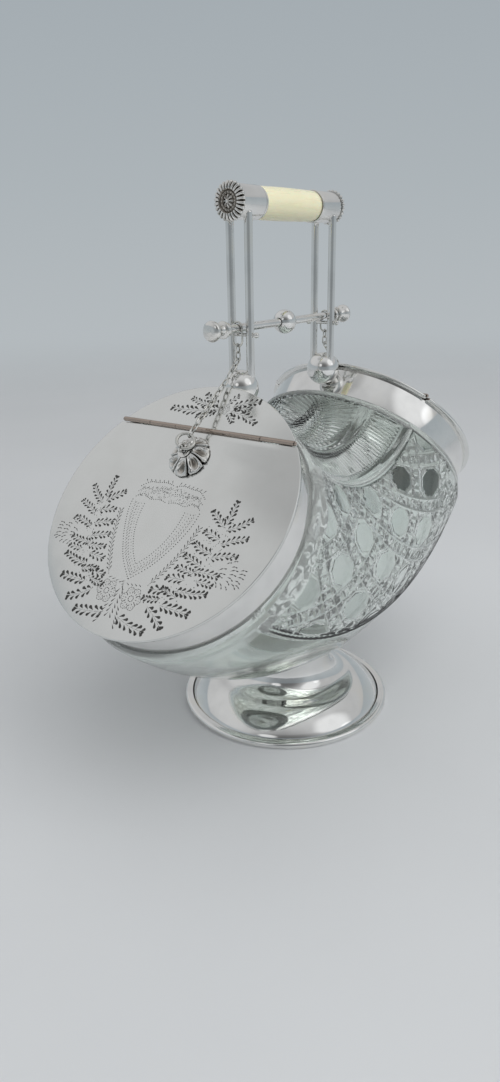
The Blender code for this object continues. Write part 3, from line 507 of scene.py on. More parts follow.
def cane_relief(theta, phi):
    """Depth of the cane cutting at angles in degrees, and where its clear buttons are. The
    eight-sided buttons stand in staggered rows. Mitre cuts run upright and level between them, and
    in pairs along both diagonals, and where the pairs cross there is a star in place of a button."""
    a = (theta - CUT_START) / (2 * CUT_PITCH)
    b = (phi - ROW_START) / (2 * ROW_PITCH)
    p, q = a + b, a - b
    width_a, width_b, width_p = CUT_WIDTHS
    depth = np.zeros_like(theta)
    for line in (p, q):
        for offset in (-PAIR_HALF, PAIR_HALF):
            depth = np.minimum(depth, valley(wrap(line - 0.5 - offset) * width_p, 2.2, 1.1))
    for line, width, half, deep in ((a, width_a, 1.9, 0.75), (b, width_b, 1.8, 0.70)):
        depth = np.minimum(depth, valley(wrap(2 * line - 0.5) / 2 * width, half, deep))
    in_p, in_q = (np.abs(wrap(line - 0.5)) < PAIR_HALF for line in (p, q))
    for here, there, line in ((in_p, in_q, q), (in_q, in_p, p)):
        ladder = valley(wrap(line * 6.0) / 6.0 * width_p, 1.7, 0.60) - 0.12
        depth = np.where(here & ~there, np.minimum(depth, ladder), depth)
    # stars where the pairs cross
    column, row = np.round(2 * a), np.round(2 * b)
    odd = np.mod(column + row, 2) > 0.5
    x, y = (2 * a - column) / 2 * width_a, (2 * b - row) / 2 * width_b
    rays = np.zeros_like(theta)
    for k in range(4):
        angle = pi * k / 4
        rays = np.minimum(rays, valley(x * sin(angle) - y * cos(angle), 1.3, 0.8))
    rays = rays * (1 - smoothstep(4.0, 6.5, np.hypot(x, y)))
    depth = np.where(odd, np.minimum(depth, rays - 0.1), depth)
    # the buttons, polished flat a little below the cuts' edges
    x, y = np.abs(x) / BUTTON_HALF[0], np.abs(y) / BUTTON_HALF[1]
    reach = np.maximum(np.maximum(x, y), (x + y) / 1.42)
    window = ~odd & (reach < 1.0)
    rim = np.where(~odd & (reach >= 1.0) & (reach < 1.14), -0.65, 0.0)
    return np.where(window, -0.15 - 0.25 * reach ** 2, np.minimum(depth, rim)), window


def vessel_relief(bend, angle):
    """How far each point of the outside stands off the plain tube, in millimetres, and how frosty
    it is."""
    theta, phi = np.degrees(bend), np.degrees(np.minimum(angle, TAU - angle))
    ends, scale = np.abs(theta), radians(GLASS_R)
    start = 57 + 8 * (1 - (bend / TILT) ** 2)      # the panel's arched lower border
    rise = smoothstep(start - LEDGE / 2, start + LEDGE * 0.1, phi) * (
        1 - smoothstep(PANEL_END - LEDGE * 0.3, PANEL_END + LEDGE / 2, phi))
    fade_ends = 1 - smoothstep(40.8, 41.8, ends)
    inner_panel = smoothstep(start + 2.5, start + 3.5, phi) * (1 - smoothstep(127.5, 129.0, phi)) * fade_ends
    cuts, window = cane_relief(theta, phi)
    relief = PANEL_RISE * rise * (1 - smoothstep(40.6, 43.5, ends)) + cuts * inner_panel
    # grooves just inside the panel's border and its top ledge, and three arcs above it
    relief = relief + (valley((phi - start - 1.6) * scale, 1.0, 0.6)
                       + valley((phi - 129.8) * scale, 1.0, 0.7)) * fade_ends
    for arc_at in (133.8, 152.2, 155.4):
        relief = relief + valley((phi - arc_at) * ARC_SCALE, 1.2, 0.7) * fade_ends
    # the fluted saddle band, and the fan over it
    ribs = smoothstep(135, 136.5, phi) * (1 - smoothstep(149.0, 150.5, phi)) * fade_ends
    fan = smoothstep(157, 158.5, phi) * fade_ends
    sweep = 4.2 - 1.6 * (phi - 157) / 23.0
    for band, height, pitch in ((ribs, 0.40, 2.1), (fan, 0.38, sweep)):
        relief = relief + band * (height * np.cos(theta * TAU / pitch) - BAND_SINK)
    frost = inner_panel * np.where(window, 0.0, 0.42) + 0.22 * ribs + 0.12 * fan
    # the ground edges: along the panel's border, its ledge and the ends by the collars
    for distance, reach in ((phi - start + 0.4, 1.6), (phi - 130.6, 1.8)):
        ground = 1 - smoothstep(0.4 * reach, reach, np.abs(distance) * scale)
        frost = np.maximum(frost, 0.55 * ground * fade_ends)
    return relief, np.maximum(frost, 0.60 * smoothstep(39.6, 41.4, ends))


def glass():
    """The vessel: a bent tube cut all over its sides, with a plain neck inside each collar."""
    spans = ((0.0, 54.0, 24), (54.0, 133.0, 214), (133.0, 160.0, 40), (160.0, 180.0, 16))
    half = np.array([radians(low + (high - low) * k / count) for low, high, count in spans
                     for k in range(count)] + [pi])
    angles = np.concatenate([half, TAU - half[1:-1][::-1]])
    top = -COLLAR_BASE + GLASS_TOP
    bends = np.linspace(-TILT + 1.15 * SHOULDER, TILT - 1.15 * SHOULDER, 381)
    first, _ = vessel_relief(np.full_like(angles, bends[0]), angles)
    # one end's rings, from the neck's top: how far back along the bend, rise, radius, frost
    neck = [(0, top, NECK_R - 0.5, 0.4), (0, top - 0.5, NECK_R, 0.4), (0, 0.6, NECK_R, 0.4),
            (0, 0.0, NECK_R + 0.5, 0.4)]
    neck += [(SHOULDER * share, 0, GLASS_R + inset + first, 0.60)
             for share, inset in ((0.10, -2.1), (0.30, -1.25), (0.60, -0.55), (1.0, -0.15))]
    inside = [(0, top, NECK_INNER + 0.5, 0.4), (0, top - 0.5, NECK_INNER, 0.4), (0, 1.0, NECK_INNER, 0.5),
              (radians(0.4), 0, NECK_INNER + 0.4, 0.2)]
    rings, frost = [], []

    def add(bend, rise, radii, frosty):
        outward = np.array((sin(bend), 0, -cos(bend)))
        along = np.array((cos(bend), 0, sin(bend))) * copysign(rise, bend)
        centre = np.array((0, 0, BEND_Z)) + outward * BEND_R + along
        rings.append(centre + outward * (radii * np.cos(angles))[:, None]
                     + np.array((0, 1, 0)) * (radii * np.sin(angles))[:, None])
        frost.append(np.full_like(angles, frosty))

    for back, *ring in neck:
        add(-TILT + back, *ring)
    for bend in bends:
        relief, frosty = vessel_relief(np.full_like(angles, bend), angles)
        add(bend, 0, GLASS_R + relief, frosty)
    for back, *ring in neck[::-1] + inside:
        add(TILT - back, *ring)
    for bend in np.linspace(TILT - radians(2.8), -TILT + radians(2.8), 60):
        add(bend, 0, GLASS_INNER, 0.0)
    for back, *ring in inside[::-1]:
        add(-TILT + back, *ring)
    item = make("cut_glass_vessel", skin(bmesh.new(), rings, closed=True), CRYSTAL, "glass_body", sharp=22,
                merge=0)
    paint(item, "frost", frost)


# ---- foot

def trimmed(bm):
    """Move the top of a piece of the foot to the underside of the bent vessel."""
    for v in bm.verts:
        if v.co.z > 30.5:
            ring = BEND_R + sqrt(max((GLASS_R + 0.3) ** 2 - v.co.y ** 2, 0.0))
            v.co.z = BEND_Z - sqrt(ring ** 2 - v.co.x ** 2)
    return bm


def foot_pieces():
    bead = [(57.9, 0.0), (BEAD_REACH + 0.9, 0.0)]
    bead += arc(BEAD_REACH, BEAD_R, BEAD_R, -pi / 3, pi * 0.55, 14)
    bead += [(58.9, 3.55), (57.9, 3.7)]
    make("foot_rim_bead", spun(bead, 160), SILVER, "foot_bead", sharp=50)

    outer = FOOT_EDGE + bezier(FOOT_DOME, 18)[1:] + bezier(FOOT_NECK, 18)[1:]
    inner = [(r - FOOT_WALL, max(z - FOOT_WALL, 0.6)) for r, z in outer]
    neck = outer[-1][0]
    outer += [(neck, FOOT_TOP), (neck - FOOT_WALL, FOOT_TOP)]
    make("foot_dome", trimmed(spun(outer + inner[::-1], 144)), SILVER, "foot", sharp=50)

    cement = [(0.0, 22.82), (CEMENT_R - 1.0, 22.82), (CEMENT_R, 23.6)]
    cement += [(CEMENT_R * (10 - k) / 10, 37.0) for k in range(11)]
    make("cement_filling", trimmed(spun(cement, 72)), CEMENT, "cement_bed", sharp=50)


# ---- collars and lids

def collar(side):
    wall, under = COLLAR_R - COLLAR_WALL, COLLAR_TOP - COLLAR_LIP
    profile = [(wall, COLLAR_BASE), (COLLAR_R, COLLAR_BASE), (COLLAR_R, COLLAR_TOP), (COLLAR_OPENING, COLLAR_TOP),
               (COLLAR_OPENING, under), (wall, under)]
    make("collar_shell_@", spun(rounded(profile, 0.45, 3), 192), SILVER, "collar_@", side, MOUTH, sharp=40)
    # the thin bed of plaster that holds the collar on the glass
    inner, outer, low, high = NECK_R + 0.06, wall - 0.06, COLLAR_BASE + 0.5, GLASS_TOP - 0.3
    bm = spun([(inner, low), (outer, low), (outer, high), (inner, high)], 192)
    make("collar_plaster_@", bm, CEMENT, None, side, MOUTH, sharp=40)


def leaf(side, name, node, body):
    """A leaf with a slightly rounded rim, and its knuckles cut from one rolled tube: the middle ones
    on the hinged lid, those at both ends on the fixed segment."""
    hinged = body != "vessel"
    sign = -1 if hinged else 1
    edge = HINGE_U + sign * (KNUCKLE_R + GAP)
    split = KNUCKLE_SPLIT + sign * 0.15
    spans = [(-split, split)] if hinged else [(HINGE_HALF, split), (-split, -HINGE_HALF)]
    rings = []
    for shrink, z in ((0.25, -LID_THICK), (0.0, -LID_THICK + 0.25), (0.0, -0.35), (0.12, -0.1), (0.4, 0.0)):
        radius = LID_RADIUS - shrink
        start = acos(edge / radius)
        outline = arc(0, 0, radius, *((start, TAU - start, 181) if hinged else (-start, start, 91)))
        for a, b in spans:
            outline += [(edge, a), (HINGE_U, a), (HINGE_U, b), (edge, b)]
        rings.append([(x, y, z) for x, y in outline])
    make(f"{name}_leaf_@", skin(bmesh.new(), rings), SATIN, node, side, MOUTH, body, 50)
    bm = bmesh.new()
    for low, high in sorted(sorted(span) for span in spans):
        pieces = max(1, round((high - low) / KNUCKLE_LENGTH))
        profile = [(KNUCKLE_BORE, low), (KNUCKLE_R - 0.12, low), (KNUCKLE_R, low + 0.12)]
        for k in range(1, pieces):
            at = low + (high - low) * k / pieces
            profile += [(KNUCKLE_R, at - 0.16), (KNUCKLE_R - 0.16, at), (KNUCKLE_R, at + 0.16)]
        profile += [(KNUCKLE_R, high - 0.12), (KNUCKLE_R - 0.12, high), (KNUCKLE_BORE, high)]
        spun(profile, 28, HINGE, bm)
    make(f"{name}_knuckles_@", bm, HINGE_PLATE, None, side, MOUTH, body, 40)


def lid(side):
    leaf(side, "lid", "lid_@", "lid_@")
    leaf(side, "segment", "fixed_segment_@", "vessel")
    half = [(0.45, 0.0), (0.9, 0.0), (0.9, 0.25), (0.6, 0.55), (0, 0.6)]
    reach = HINGE_HALF + 0.3
    profile = [(r, -reach - z) for r, z in half[::-1]] + [(r, reach + z) for r, z in half]
    make("hinge_rod_@", spun(profile, 24, HINGE), HINGE_PLATE, "hinge_pin_@", side, MOUTH)


# ---- engraving

# Outline of one cut, pointed where it starts, broad and round at its far end
CLUB = [(0.0, 0.0), (0.22, 0.13), (0.46, 0.30), (0.70, 0.49), (0.87, 0.47), (0.98, 0.20)]
CLUB += [(t, -w) for t, w in CLUB[:0:-1]]
CUT_LOW, CUT_HIGH = 0.004, 0.05


class Cuts:
    """Bright-cut strokes laid on a lid's face, each a thin faceted sliver, drawn in (v, u)
    where v runs towards -Y of the left lid, seen from outside."""

    def __init__(self):
        self.bm = bmesh.new()

    def sliver(self, at, turn, length, width, lift=CUT_HIGH):
        start, along = Vector(at).to_3d(), unit(turn).to_3d()
        side = Vector((-along.y, along.x, 0))
        low = [start + along * t * length + side * w * width + Vector((0, 0, CUT_LOW)) for t, w in CLUB]
        top = [start + along * (0.08 + 0.86 * t) * length + side * w * width * 0.75 + Vector((0, 0, lift))
               for t, w in CLUB]
        skin(self.bm, [low, top])

    def dot(self, at, radius):
        skin(self.bm, [circle(radius, CUT_LOW, 7, at), circle(radius * 0.5, CUT_HIGH, 7, at)])

    def stroke(self, points, width):
        """A thin engraved line, tapered to both ends, along a smooth path."""
        for a, b in zip(points, points[1:]):
            step = Vector(b) - Vector(a)
            self.sliver(a, heading(step), step.length * 1.12, width, 0.04)


def fern(cuts, base, tip, leaf_length, width, rng, bow=0.0):
    """A fern: pairs of club-shaped leaflets along a slightly bowed stem, closing up towards its tip."""
    base, tip = Vector(base), Vector(tip)
    run = tip - base
    path = curve([tuple(base), tuple((base + tip) / 2 + Vector((-run.y, run.x)) * bow), tuple(tip)], 12)
    count = max(3, round(run.length / (leaf_length * 0.80)))
    cuts.stroke(path[::4], 0.18)
    for k in range(count):
        for sign in (1, -1):
            t = (k + 0.25 + 0.12 * sign) / count
            i = min(int(t * (len(path) - 1)), len(path) - 2)
            a, b = Vector(path[i]), Vector(path[i + 1])
            q = a + (b - a) * (t * (len(path) - 1) - i)
            size = leaf_length * (0.86 + 0.26 * sin(pi * min(t * 1.15, 1.0))) * (1 - 0.18 * t)
            size *= rng.uniform(0.86, 1.12)
            turn = heading(b - a) + sign * 0.70 * (1 - 0.25 * t) * rng.uniform(0.82, 1.18)
            cuts.sliver(q + unit(turn) * leaf_length * 0.20, turn, size, width * 1.34 * rng.uniform(0.85, 1.1))
    end = Vector(path[-1])
    turn = heading(end - Vector(path[-2]))
    cuts.sliver(end - unit(turn) * leaf_length * 0.45, turn, leaf_length * 0.85, width * 1.15)


def rose(cuts, middle, radius):
    """A small rose: a ring round its heart, a ring of short rays, and a lobed outline of petals."""
    middle = Vector(middle)
    for k in range(8):
        angle = TAU * k / 8
        at = middle + unit(angle) * radius * 0.24 - unit(angle + QUARTER) * radius * 0.09
        cuts.sliver(at, angle + QUARTER, radius * 0.20, radius * 0.08)
    for k in range(14):
        angle = TAU * k / 14
        cuts.sliver(middle + unit(angle) * radius * 0.42, angle, radius * 0.20, radius * 0.07)
    lobes, steps = 6, 7
    for lobe in range(lobes):
        out = TAU * lobe / lobes
        centre = middle + unit(out) * radius * 0.66
        points = [tuple(centre + unit(out + (k / (steps - 1) - 0.5) * pi * 1.35) * radius
                        * (0.36 + 0.03 * (k % 2))) for k in range(steps)]
        cuts.stroke(points, radius * 0.055)
        for angle in (out - 0.25, out, out + 0.25):
            cuts.sliver(middle + unit(angle) * radius * 0.70, angle, radius * 0.17, radius * 0.045)


def mirrored(points, sign):
    return [(v * sign, u) for v, u in points]


# In (v, u), for one side: the shield's two borders, the wreath's stalk and the line of its dots
SHIELD_OUTER = ((20.8, 0.5), (20.2, -6.0), (18.0, -13.0), (14.4, -21.0), (8.4, -30.5), (0.0, -39.0))
SHIELD_INNER = ((12.6, -0.5), (12.4, -6.0), (11.6, -11.0), (9.4, -18.0), (5.2, -25.5), (0.0, -31.5))
STALK = ((24.4, -7.4), (22.8, -15.0), (20.0, -24.0), (16.2, -32.0), (12.2, -39.4))
DOT_LINE = ((18.0, -46.0), (28.0, -38.0), (33.5, -26.0), (35.5, -14.0), (36.0, -1.0))

# Fan of fine curved cuts at the wreath's widest place: start and end of each, in (v, u)
FAN_CUTS = (
    ((43.8, -23.8), (47.6, -22.2)), ((44.4, -25.4), (48.2, -24.8)), ((45.2, -26.4), (47.6, -26.6)),
    ((44.4, -28.6), (46.6, -31.4)), ((47.2, -28.8), (49.4, -31.4)), ((46.4, -17.8), (48.6, -15.8)),
    ((46.4, -20.2), (48.8, -19.0)), ((49.2, -18.6), (51.4, -17.8)), ((49.4, -20.9), (52.4, -20.6)),
    ((49.6, -22.8), (53.6, -22.0)), ((49.8, -24.4), (53.6, -24.3)), ((49.5, -25.6), (53.0, -26.8)),
    ((49.6, -27.2), (52.2, -28.8)), ((52.6, -27.8), (55.8, -30.0)), ((50.4, -29.6), (52.0, -31.2)),
    ((54.4, -21.6), (57.8, -21.0)), ((54.4, -23.1), (57.8, -22.9)), ((54.4, -24.6), (57.8, -24.8)),
    ((53.8, -26.2), (57.0, -27.2)), ((54.8, -28.0), (57.4, -29.0)),
)

# Ferns of one side: base, tip, leaflet length, leaflet width
LID_FERNS = (
    ((4.0, -56.6), (20.8, -59.4), 3.5, 1.15),
    ((17.0, -48.0), (28.8, -55.2), 3.4, 1.15),
    ((23.0, -46.0), (38.6, -46.2), 3.4, 1.10),
    ((27.5, -38.0), (43.0, -35.6), 3.0, 1.00),
    ((32.0, -27.2), (44.8, -26.6), 2.7, 0.85),
    ((37.0, -19.6), (49.6, -16.2), 2.6, 0.80),
    ((39.0, -12.8), (50.6, -7.2), 2.6, 0.80),
    ((38.6, -5.6), (48.8, 1.8), 2.6, 0.82),
    ((37.0, -3.4), (37.6, 8.6), 2.7, 0.90),
    ((36.6, -4.6), (27.6, 2.0), 2.8, 0.85),
    ((37.6, -10.4), (28.2, -8.0), 2.8, 0.80),
    ((36.6, -17.8), (26.0, -14.6), 2.9, 0.80),
    ((34.8, -24.4), (24.0, -21.0), 2.9, 0.82),
    ((30.0, -32.2), (20.4, -33.0), 2.8, 0.85),
    ((25.2, -38.6), (15.2, -40.6), 3.0, 0.95),
    ((30.0, -41.0), (20.4, -38.6), 2.6, 0.80),
    ((33.0, -28.4), (22.8, -27.4), 2.6, 0.78),
    ((22.0, -43.6), (13.2, -45.0), 2.4, 0.85),
    ((35.6, -31.4), (44.0, -31.2), 2.4, 0.80),
)

# The same for the spray on the fixed segment
SEGMENT_FERNS = (
    ((3.0, 54.6), (-25.4, 52.2), 3.4, 1.05),
    ((1.0, 57.0), (-8.6, 62.0), 2.6, 0.85),
    ((-1.0, 56.4), (-16.0, 58.8), 2.4, 0.75),
    ((9.5, 56.6), (23.6, 61.2), 2.9, 0.95),
    ((9.5, 54.4), (26.2, 49.6), 3.1, 1.00),
    ((10.5, 55.6), (20.0, 56.4), 2.4, 0.75),
    ((6.4, 58.2), (10.2, 63.0), 2.2, 0.75),
    ((2.0, 53.4), (-8.4, 49.2), 2.4, 0.75),
    ((8.4, 53.2), (13.4, 48.6), 2.3, 0.75),
)


def between_rows(share, sign):
    """A path between the shield's two borders, on one side of it."""
    return curve(mirrored([(a[0] + (b[0] - a[0]) * share, a[1] + (b[1] - a[1]) * share)
                           for a, b in zip(SHIELD_OUTER, SHIELD_INNER)], sign), 26)


def paced(path, pitch):
    """Points at an even pitch along a path, each with its heading."""
    carried, last = 0.0, Vector(path[0])
    for point in path[1:]:
        here = Vector(point)
        step = here - last
        carried += step.length
        last = here
        if carried >= pitch:
            carried = 0.0
            yield here, heading(step)


def dotted(cuts, path, pitch, radius, rng=None):
    for at, _ in paced(path, pitch):
        shift = (rng.uniform(-0.22, 0.22), rng.uniform(-0.22, 0.22)) if rng else (0, 0)
        cuts.dot((at.x + shift[0], at.y + shift[1]), radius)


def shield_head(cuts, sign, rng):
    """Arched lines of dots over a stippled field, and a crest of short cuts by the pull."""
    for lift, radius in ((0.0, 0.28), (4.6, 0.26), (9.2, 0.30)):
        swag = [(0.0, 0.8 + lift), (5.2, 1.9 + lift), (10.6, 1.2 + lift), (15.6, 3.2 + lift * 0.72),
                (20.6, 0.6 + lift * 0.62)]
        dotted(cuts, curve(mirrored(swag, sign), 26), 1.1, radius)
    for k in range(120):
        v = rng.uniform(0.4, 19.0)
        cuts.dot((sign * v, rng.uniform(1.8, 10.2 - 0.20 * v)), rng.uniform(0.14, 0.24))
    for k in range(7):
        v = 2.2 + 2.5 * k
        cuts.sliver((sign * v, 10.9 - 0.22 * k), QUARTER - sign * (0.35 + 0.06 * k), 2.0, 0.40)
        cuts.sliver((sign * (v + 0.7), 7.4 - 0.25 * k), QUARTER + sign * 0.45, 1.5, 0.34)


def wreath(cuts, sign, rng):
    """One side's stalk, ferns, fan of fine cuts and scattered dots."""
    stalk = curve(mirrored(STALK, sign), 12)
    cuts.stroke(stalk[::3], 0.20)
    for k in range(2, len(stalk) - 2, 3):
        a = Vector(stalk[k])
        for turn in (0.62, -0.62):
            cuts.sliver(a, heading(a - Vector(stalk[k + 1])) + turn, 2.4, 0.50)
    for base, tip, length, width in LID_FERNS:
        bow = rng.uniform(-0.05, 0.05)
        fern(cuts, *mirrored((base, tip), sign), length, width, rng, bow)
    for ends in FAN_CUTS:
        start, end = (Vector(point) for point in mirrored(ends, sign))
        step = end - start
        half = start + step / 2 + Vector((-step.y, step.x)) * 0.12 * sign
        for a, b, longer, width in ((start, half, 1.12, 0.50), (half, end, 1.05, 0.52)):
            cuts.sliver(a, heading(b - a), (b - a).length * longer, width)
    line = curve(mirrored(DOT_LINE, sign), 20)
    for k in range(150):
        v, u = line[int(rng.random() * (len(line) - 1))]
        cuts.dot((v + rng.uniform(-7.0, 6.0), u + rng.uniform(-3.0, 3.0)), rng.uniform(0.16, 0.30))


def lid_ornament():
    """Fern and rose wreath round a dotted shield, in (v, u) on the lid's face."""
    cuts = Cuts()
    rng = random.Random(7)
    # the shield's border round its blank: rows of dots, with short slanting dashes between
    for share, pitch, radius in ((0.0, 1.2, 0.30), (0.24, 1.5, 0.20), (0.76, 1.5, 0.20), (1.0, 1.15, 0.28)):
        for sign in (1, -1):
            dotted(cuts, between_rows(share, sign), pitch, radius, rng if 0 < share < 1 else None)
    for sign in (1, -1):
        for share in (0.40, 0.60):
            for at, turn in paced(between_rows(share, sign), 1.5):
                cuts.sliver(at, turn + 0.75 * sign, 1.1, 0.34)
    for sign in (1, -1):
        shield_head(cuts, sign, rng)
        wreath(cuts, sign, rng)
    rose(cuts, (-8.7, -47.0), 5.6)
    rose(cuts, (6.8, -47.2), 5.6)
    # feathered cuts between, over and under the roses
    for sign in (1, -1):
        for k in range(6):
            cuts.sliver((-1.0 + sign * 0.5, -44.0 - 2.4 * k), -QUARTER + sign * 0.55, 2.8, 0.62)
        for k in range(5):
            cuts.sliver((-1.0 + sign * (2.6 + 0.5 * k), -52.0 - 2.1 * k), -QUARTER + sign * 0.75, 2.8, 0.62)
        for k in range(4):
            cuts.sliver((-1.0 + sign * (1.2 + 2.3 * k), -40.6 + 0.3 * k), -0.5 if sign > 0 else pi + 0.5,
                        2.2, 0.42)
    for k in range(5):
        cuts.sliver((-1.0, -40.0 - 0.9 * k), -QUARTER + 0.5 * (k - 2), 1.8, 0.45)
    return cuts.bm


def segment_ornament():
    """Small fern spray on the fixed segment above the hinge."""
    cuts = Cuts()
    rng = random.Random(5)
    for base, tip, length, width in SEGMENT_FERNS:
        fern(cuts, base, tip, length, width, rng, 0.04)
    rose(cuts, (5.7, 55.0), 3.1)
    return cuts.bm


def engraving(side):
    """The cuts, turned from (v, u) into the mouth frame, where v runs towards -Y."""
    swap = Matrix(((0, 1, 0, 0), (-1, 0, 0, 0), (0, 0, 1, 0), (0, 0, 0, 1)))
    make("lid_cuts_@", lid_ornament(), ENGRAVED, None, side, MOUTH @ swap, "lid_@", 20, 0)
    make("segment_cuts_@", segment_ornament(), ENGRAVED, None, side, MOUTH @ swap, "vessel", 20, 0)


# ---- pulls

def pull_flower():
    """Bell-shaped flower: seven petals, each a deep spoon with a thick raised rim, slightly twisted. Gives its
    rings of points from the open edge up, and a painted shade for each point, darkest in the spoons and in the
    grooves between petals."""
    petals, count, swirl = 7, 196, 0.40
    outline = curve([(1.0, 0.0), (1.0, 0.12), (0.90, 0.32), (0.76, 0.52), (0.58, 0.72), (0.40, 0.87),
                     (0.30, 0.93)], 5)

    def petal(turn, share, height, out):
        off = off_middle(petals * (turn - swirl * (1 - share)) / TAU)
        # the spoon is an oval hollow, round at the open edge and pointed towards the top
        along = (share - 0.72) / 0.24
        spoon = max(0.0, 1 - (off / 0.62) ** 2 - (along if along < 0 else along * 1.05) ** 2 * 0.85)
        ridge = exp(-((off - 0.74) / 0.13) ** 2) * min(1.0, max(0.0, (share - 0.34) / 0.25))
        groove = max(0.0, (off - 0.88) / 0.12)
        lip = max(0.0, (share - 0.93) / 0.07) * (1 - off ** 4)
        push = -1.9 * sqrt(spoon) * 0.75 + 0.55 * ridge - groove * min(1.0, share / 0.5) + 0.30 * lip
        reach = PULL_R * share * (1 - 0.10 * off ** 2 * share) - 0.75 + out.x * push
        rise = PULL_HEIGHT * height * 0.96 + out.y * push + 0.35 * (share > 0.9) * off ** 2
        # the third value is painted shade, darkest in each spoon and in the grooves between the petals
        return min(reach, PULL_R), max(rise, 0.02) + GAP, min(1.0, 0.85 * spoon + 0.75 * groove * share)

    rows = []
    for i, (share, height) in enumerate(outline):
        before, after = outline[max(i - 1, 0)], outline[min(i + 1, len(outline) - 1)]
        run = Vector(((after[0] - before[0]) * PULL_R, (after[1] - before[1]) * PULL_HEIGHT)).normalized()
        rows.append((share, height, Vector((run.y, -run.x))))
    rings, hollow_shades = shaped(count, rows, petal)
    top = ((PULL_R * 0.27, PULL_HEIGHT * 0.94), (PULL_R * 0.30, PULL_HEIGHT * 0.97),
           (PULL_R * 0.26, PULL_HEIGHT), (PULL_BORE, PULL_HEIGHT), (PULL_BORE, 0.02))
    rings += [circle(r, z + GAP, count) for r, z in top]
    return rings, hollow_shades + [[0.0] * count] * 5


def pull(side):
    """The flower, the eye bolt through it, and its nut."""
    place = side, MOUTH @ Matrix.Translation((PULL_U, 0, 0)), "lid_@"
    rings, hollow_shades = pull_flower()
    item = make("pull_flower_@", skin(bmesh.new(), rings, closed=True), WORN_SILVER, "pull_@", *place, 60, 0)
    # painted shade in the petals' hollows, read by the material as its hollow value
    paint(item, "hollow", hollow_shades)

    upright = Matrix.Translation((0, 0, EYE_N)) @ Matrix.Rotation(QUARTER, 4, "X")
    bm = wire(bmesh.new(), oval(upright, 0, EYE_R, 22), EYE_WIRE)
    top = EYE_N - EYE_R - 0.1
    spun([(0, -3.9), (0.8, -3.9), (1.0, -3.7), (1.0, 5.6), (1.0, 6.2), (0.75, top), (0, top + 0.05)], 24, bm=bm)
    make("eye_@", bm, WORN_SILVER, "eye_bolt_@", *place, 40)

    def six_sided(turn, radius, height):
        corner = pi / 6
        flat = cos(corner) / cos((turn + corner) % (2 * corner) - corner)
        return radius * (flat if radius > 3 else 1.0), height, 0.0

    rows = (1.3, -3.7), (2.6, -3.7), (3.2, -3.45), (3.2, -2.15), (2.7, -1.9), (1.3, -1.9)
    rings, _ = shaped(72, rows, six_sided)
    make("nut_@", skin(bmesh.new(), rings, closed=True), WORN_SILVER, "lid_nut_@", *place, 30)


# ---- handle

def uprights(side):
    bm = spun(arc(0, 0, BALL_R, -QUARTER, QUARTER, 29), 64, Matrix.Translation(BALL))
    make("upright_ball_@", bm, SILVER, "ball_@", side)
    dome = arc(0, ROD_HIGH - 1.3, ROD_R, 0, QUARTER, 9, rise=1.3)
    for end, y in (("front", -ROD_Y), ("back", ROD_Y)):
        bm = spun([(0, ROD_LOW), (ROD_R, ROD_LOW)] + dome, 32, Matrix.Translation((-ROD_X, y, 0)))
        make(f"upright_@_{end}", bm, SILVER, f"rod_@_{end}", side)
    start = ROD_Y + ROD_R + GAP
    cap = [(STOP_R, start)] + arc(0, start + STOP_HEAD_R, STOP_HEAD_R, 0.7 - QUARTER, QUARTER, 12)
    place = Matrix.Translation((-ROD_X, 0, BAR_Z - BAR_R - GAP - STOP_R)) @ Matrix.Rotation(-QUARTER, 4, "X")
    make("stop_bar_@", spun([(r, -h) for r, h in cap[::-1]] + cap, 28, place), WORN_SILVER, "stop_pin_@", side)


def handle():
    """The ivory, the rod through it, the sliding bar and its middle ball."""
    half, edge = GRIP_HALF, 0.35
    outer = [(GRIP_R + 0.3 * (1 - (x / half) ** 2) - (edge if abs(x) > half - 0.01 else 0), x)
             for x in np.linspace(-half, half, 25)]
    outer.insert(1, (GRIP_R, edge - half))
    outer.insert(-1, (GRIP_R, half - edge))
    bm = spun([(GRIP_BORE, -half)] + outer + [(GRIP_BORE, half)], 64, level(GRIP_Z))
    make("ivory_grip", bm, IVORY, "grip", sharp=50)

    core = [(0, -CORE_HALF), (CORE_R, -CORE_HALF), (CORE_R, CORE_HALF), (0, CORE_HALF)]
    make("tie_rod", spun(rounded(core, 0.2, 2), 24, level(GRIP_Z)), CORE, "grip_core")

    end = [(BAR_R, BAR_HALF - 0.2), (1.9, BAR_HALF), (1.2, BAR_HALF), (1.2, BAR_HALF + 7.5), (0, BAR_HALF + 7.5)]
    bm = spun([(r, -h) for r, h in end[::-1]] + end, 32, level(BAR_Z))
    make("sliding_bar", bm, SILVER, "lift_bar", body="lift_bar")

    bore = BAR_R + GAP
    lip = sqrt(BAR_BALL_R ** 2 - bore ** 2)
    start = asin(lip / BAR_BALL_R)
    ball = arc(0, 0, BAR_BALL_R, -start, start, 25) + [(bore, lip - 0.01), (bore, 0.01 - lip)]
    make("middle_ball", spun(ball, 48, level(BAR_Z)), SILVER, "bar_ball", body="lift_bar")


# Rosette, from its edge in. Flutes: radius share, height share, depth of the flutes, painted shade
FLUTES = 24
FLUTE_ROWS = (
    (0.90, 0.0, 0.0, 0.0), (0.95, 0.03, 0.4, 0.3), (0.99, 0.14, 1.0, 0.5), (1.0, 0.28, 1.0, 0.6),
    (0.98, 0.42, 1.0, 0.7), (0.94, 0.55, 1.0, 0.8), (0.88, 0.66, 1.0, 0.9), (0.81, 0.74, 1.0, 0.9),
    (0.74, 0.79, 0.95, 1.0), (0.67, 0.82, 0.85, 1.0), (0.61, 0.82, 0.7, 1.0), (0.575, 0.78, 0.4, 1.0),
    (0.55, 0.68, 0.1, 1.0),
)
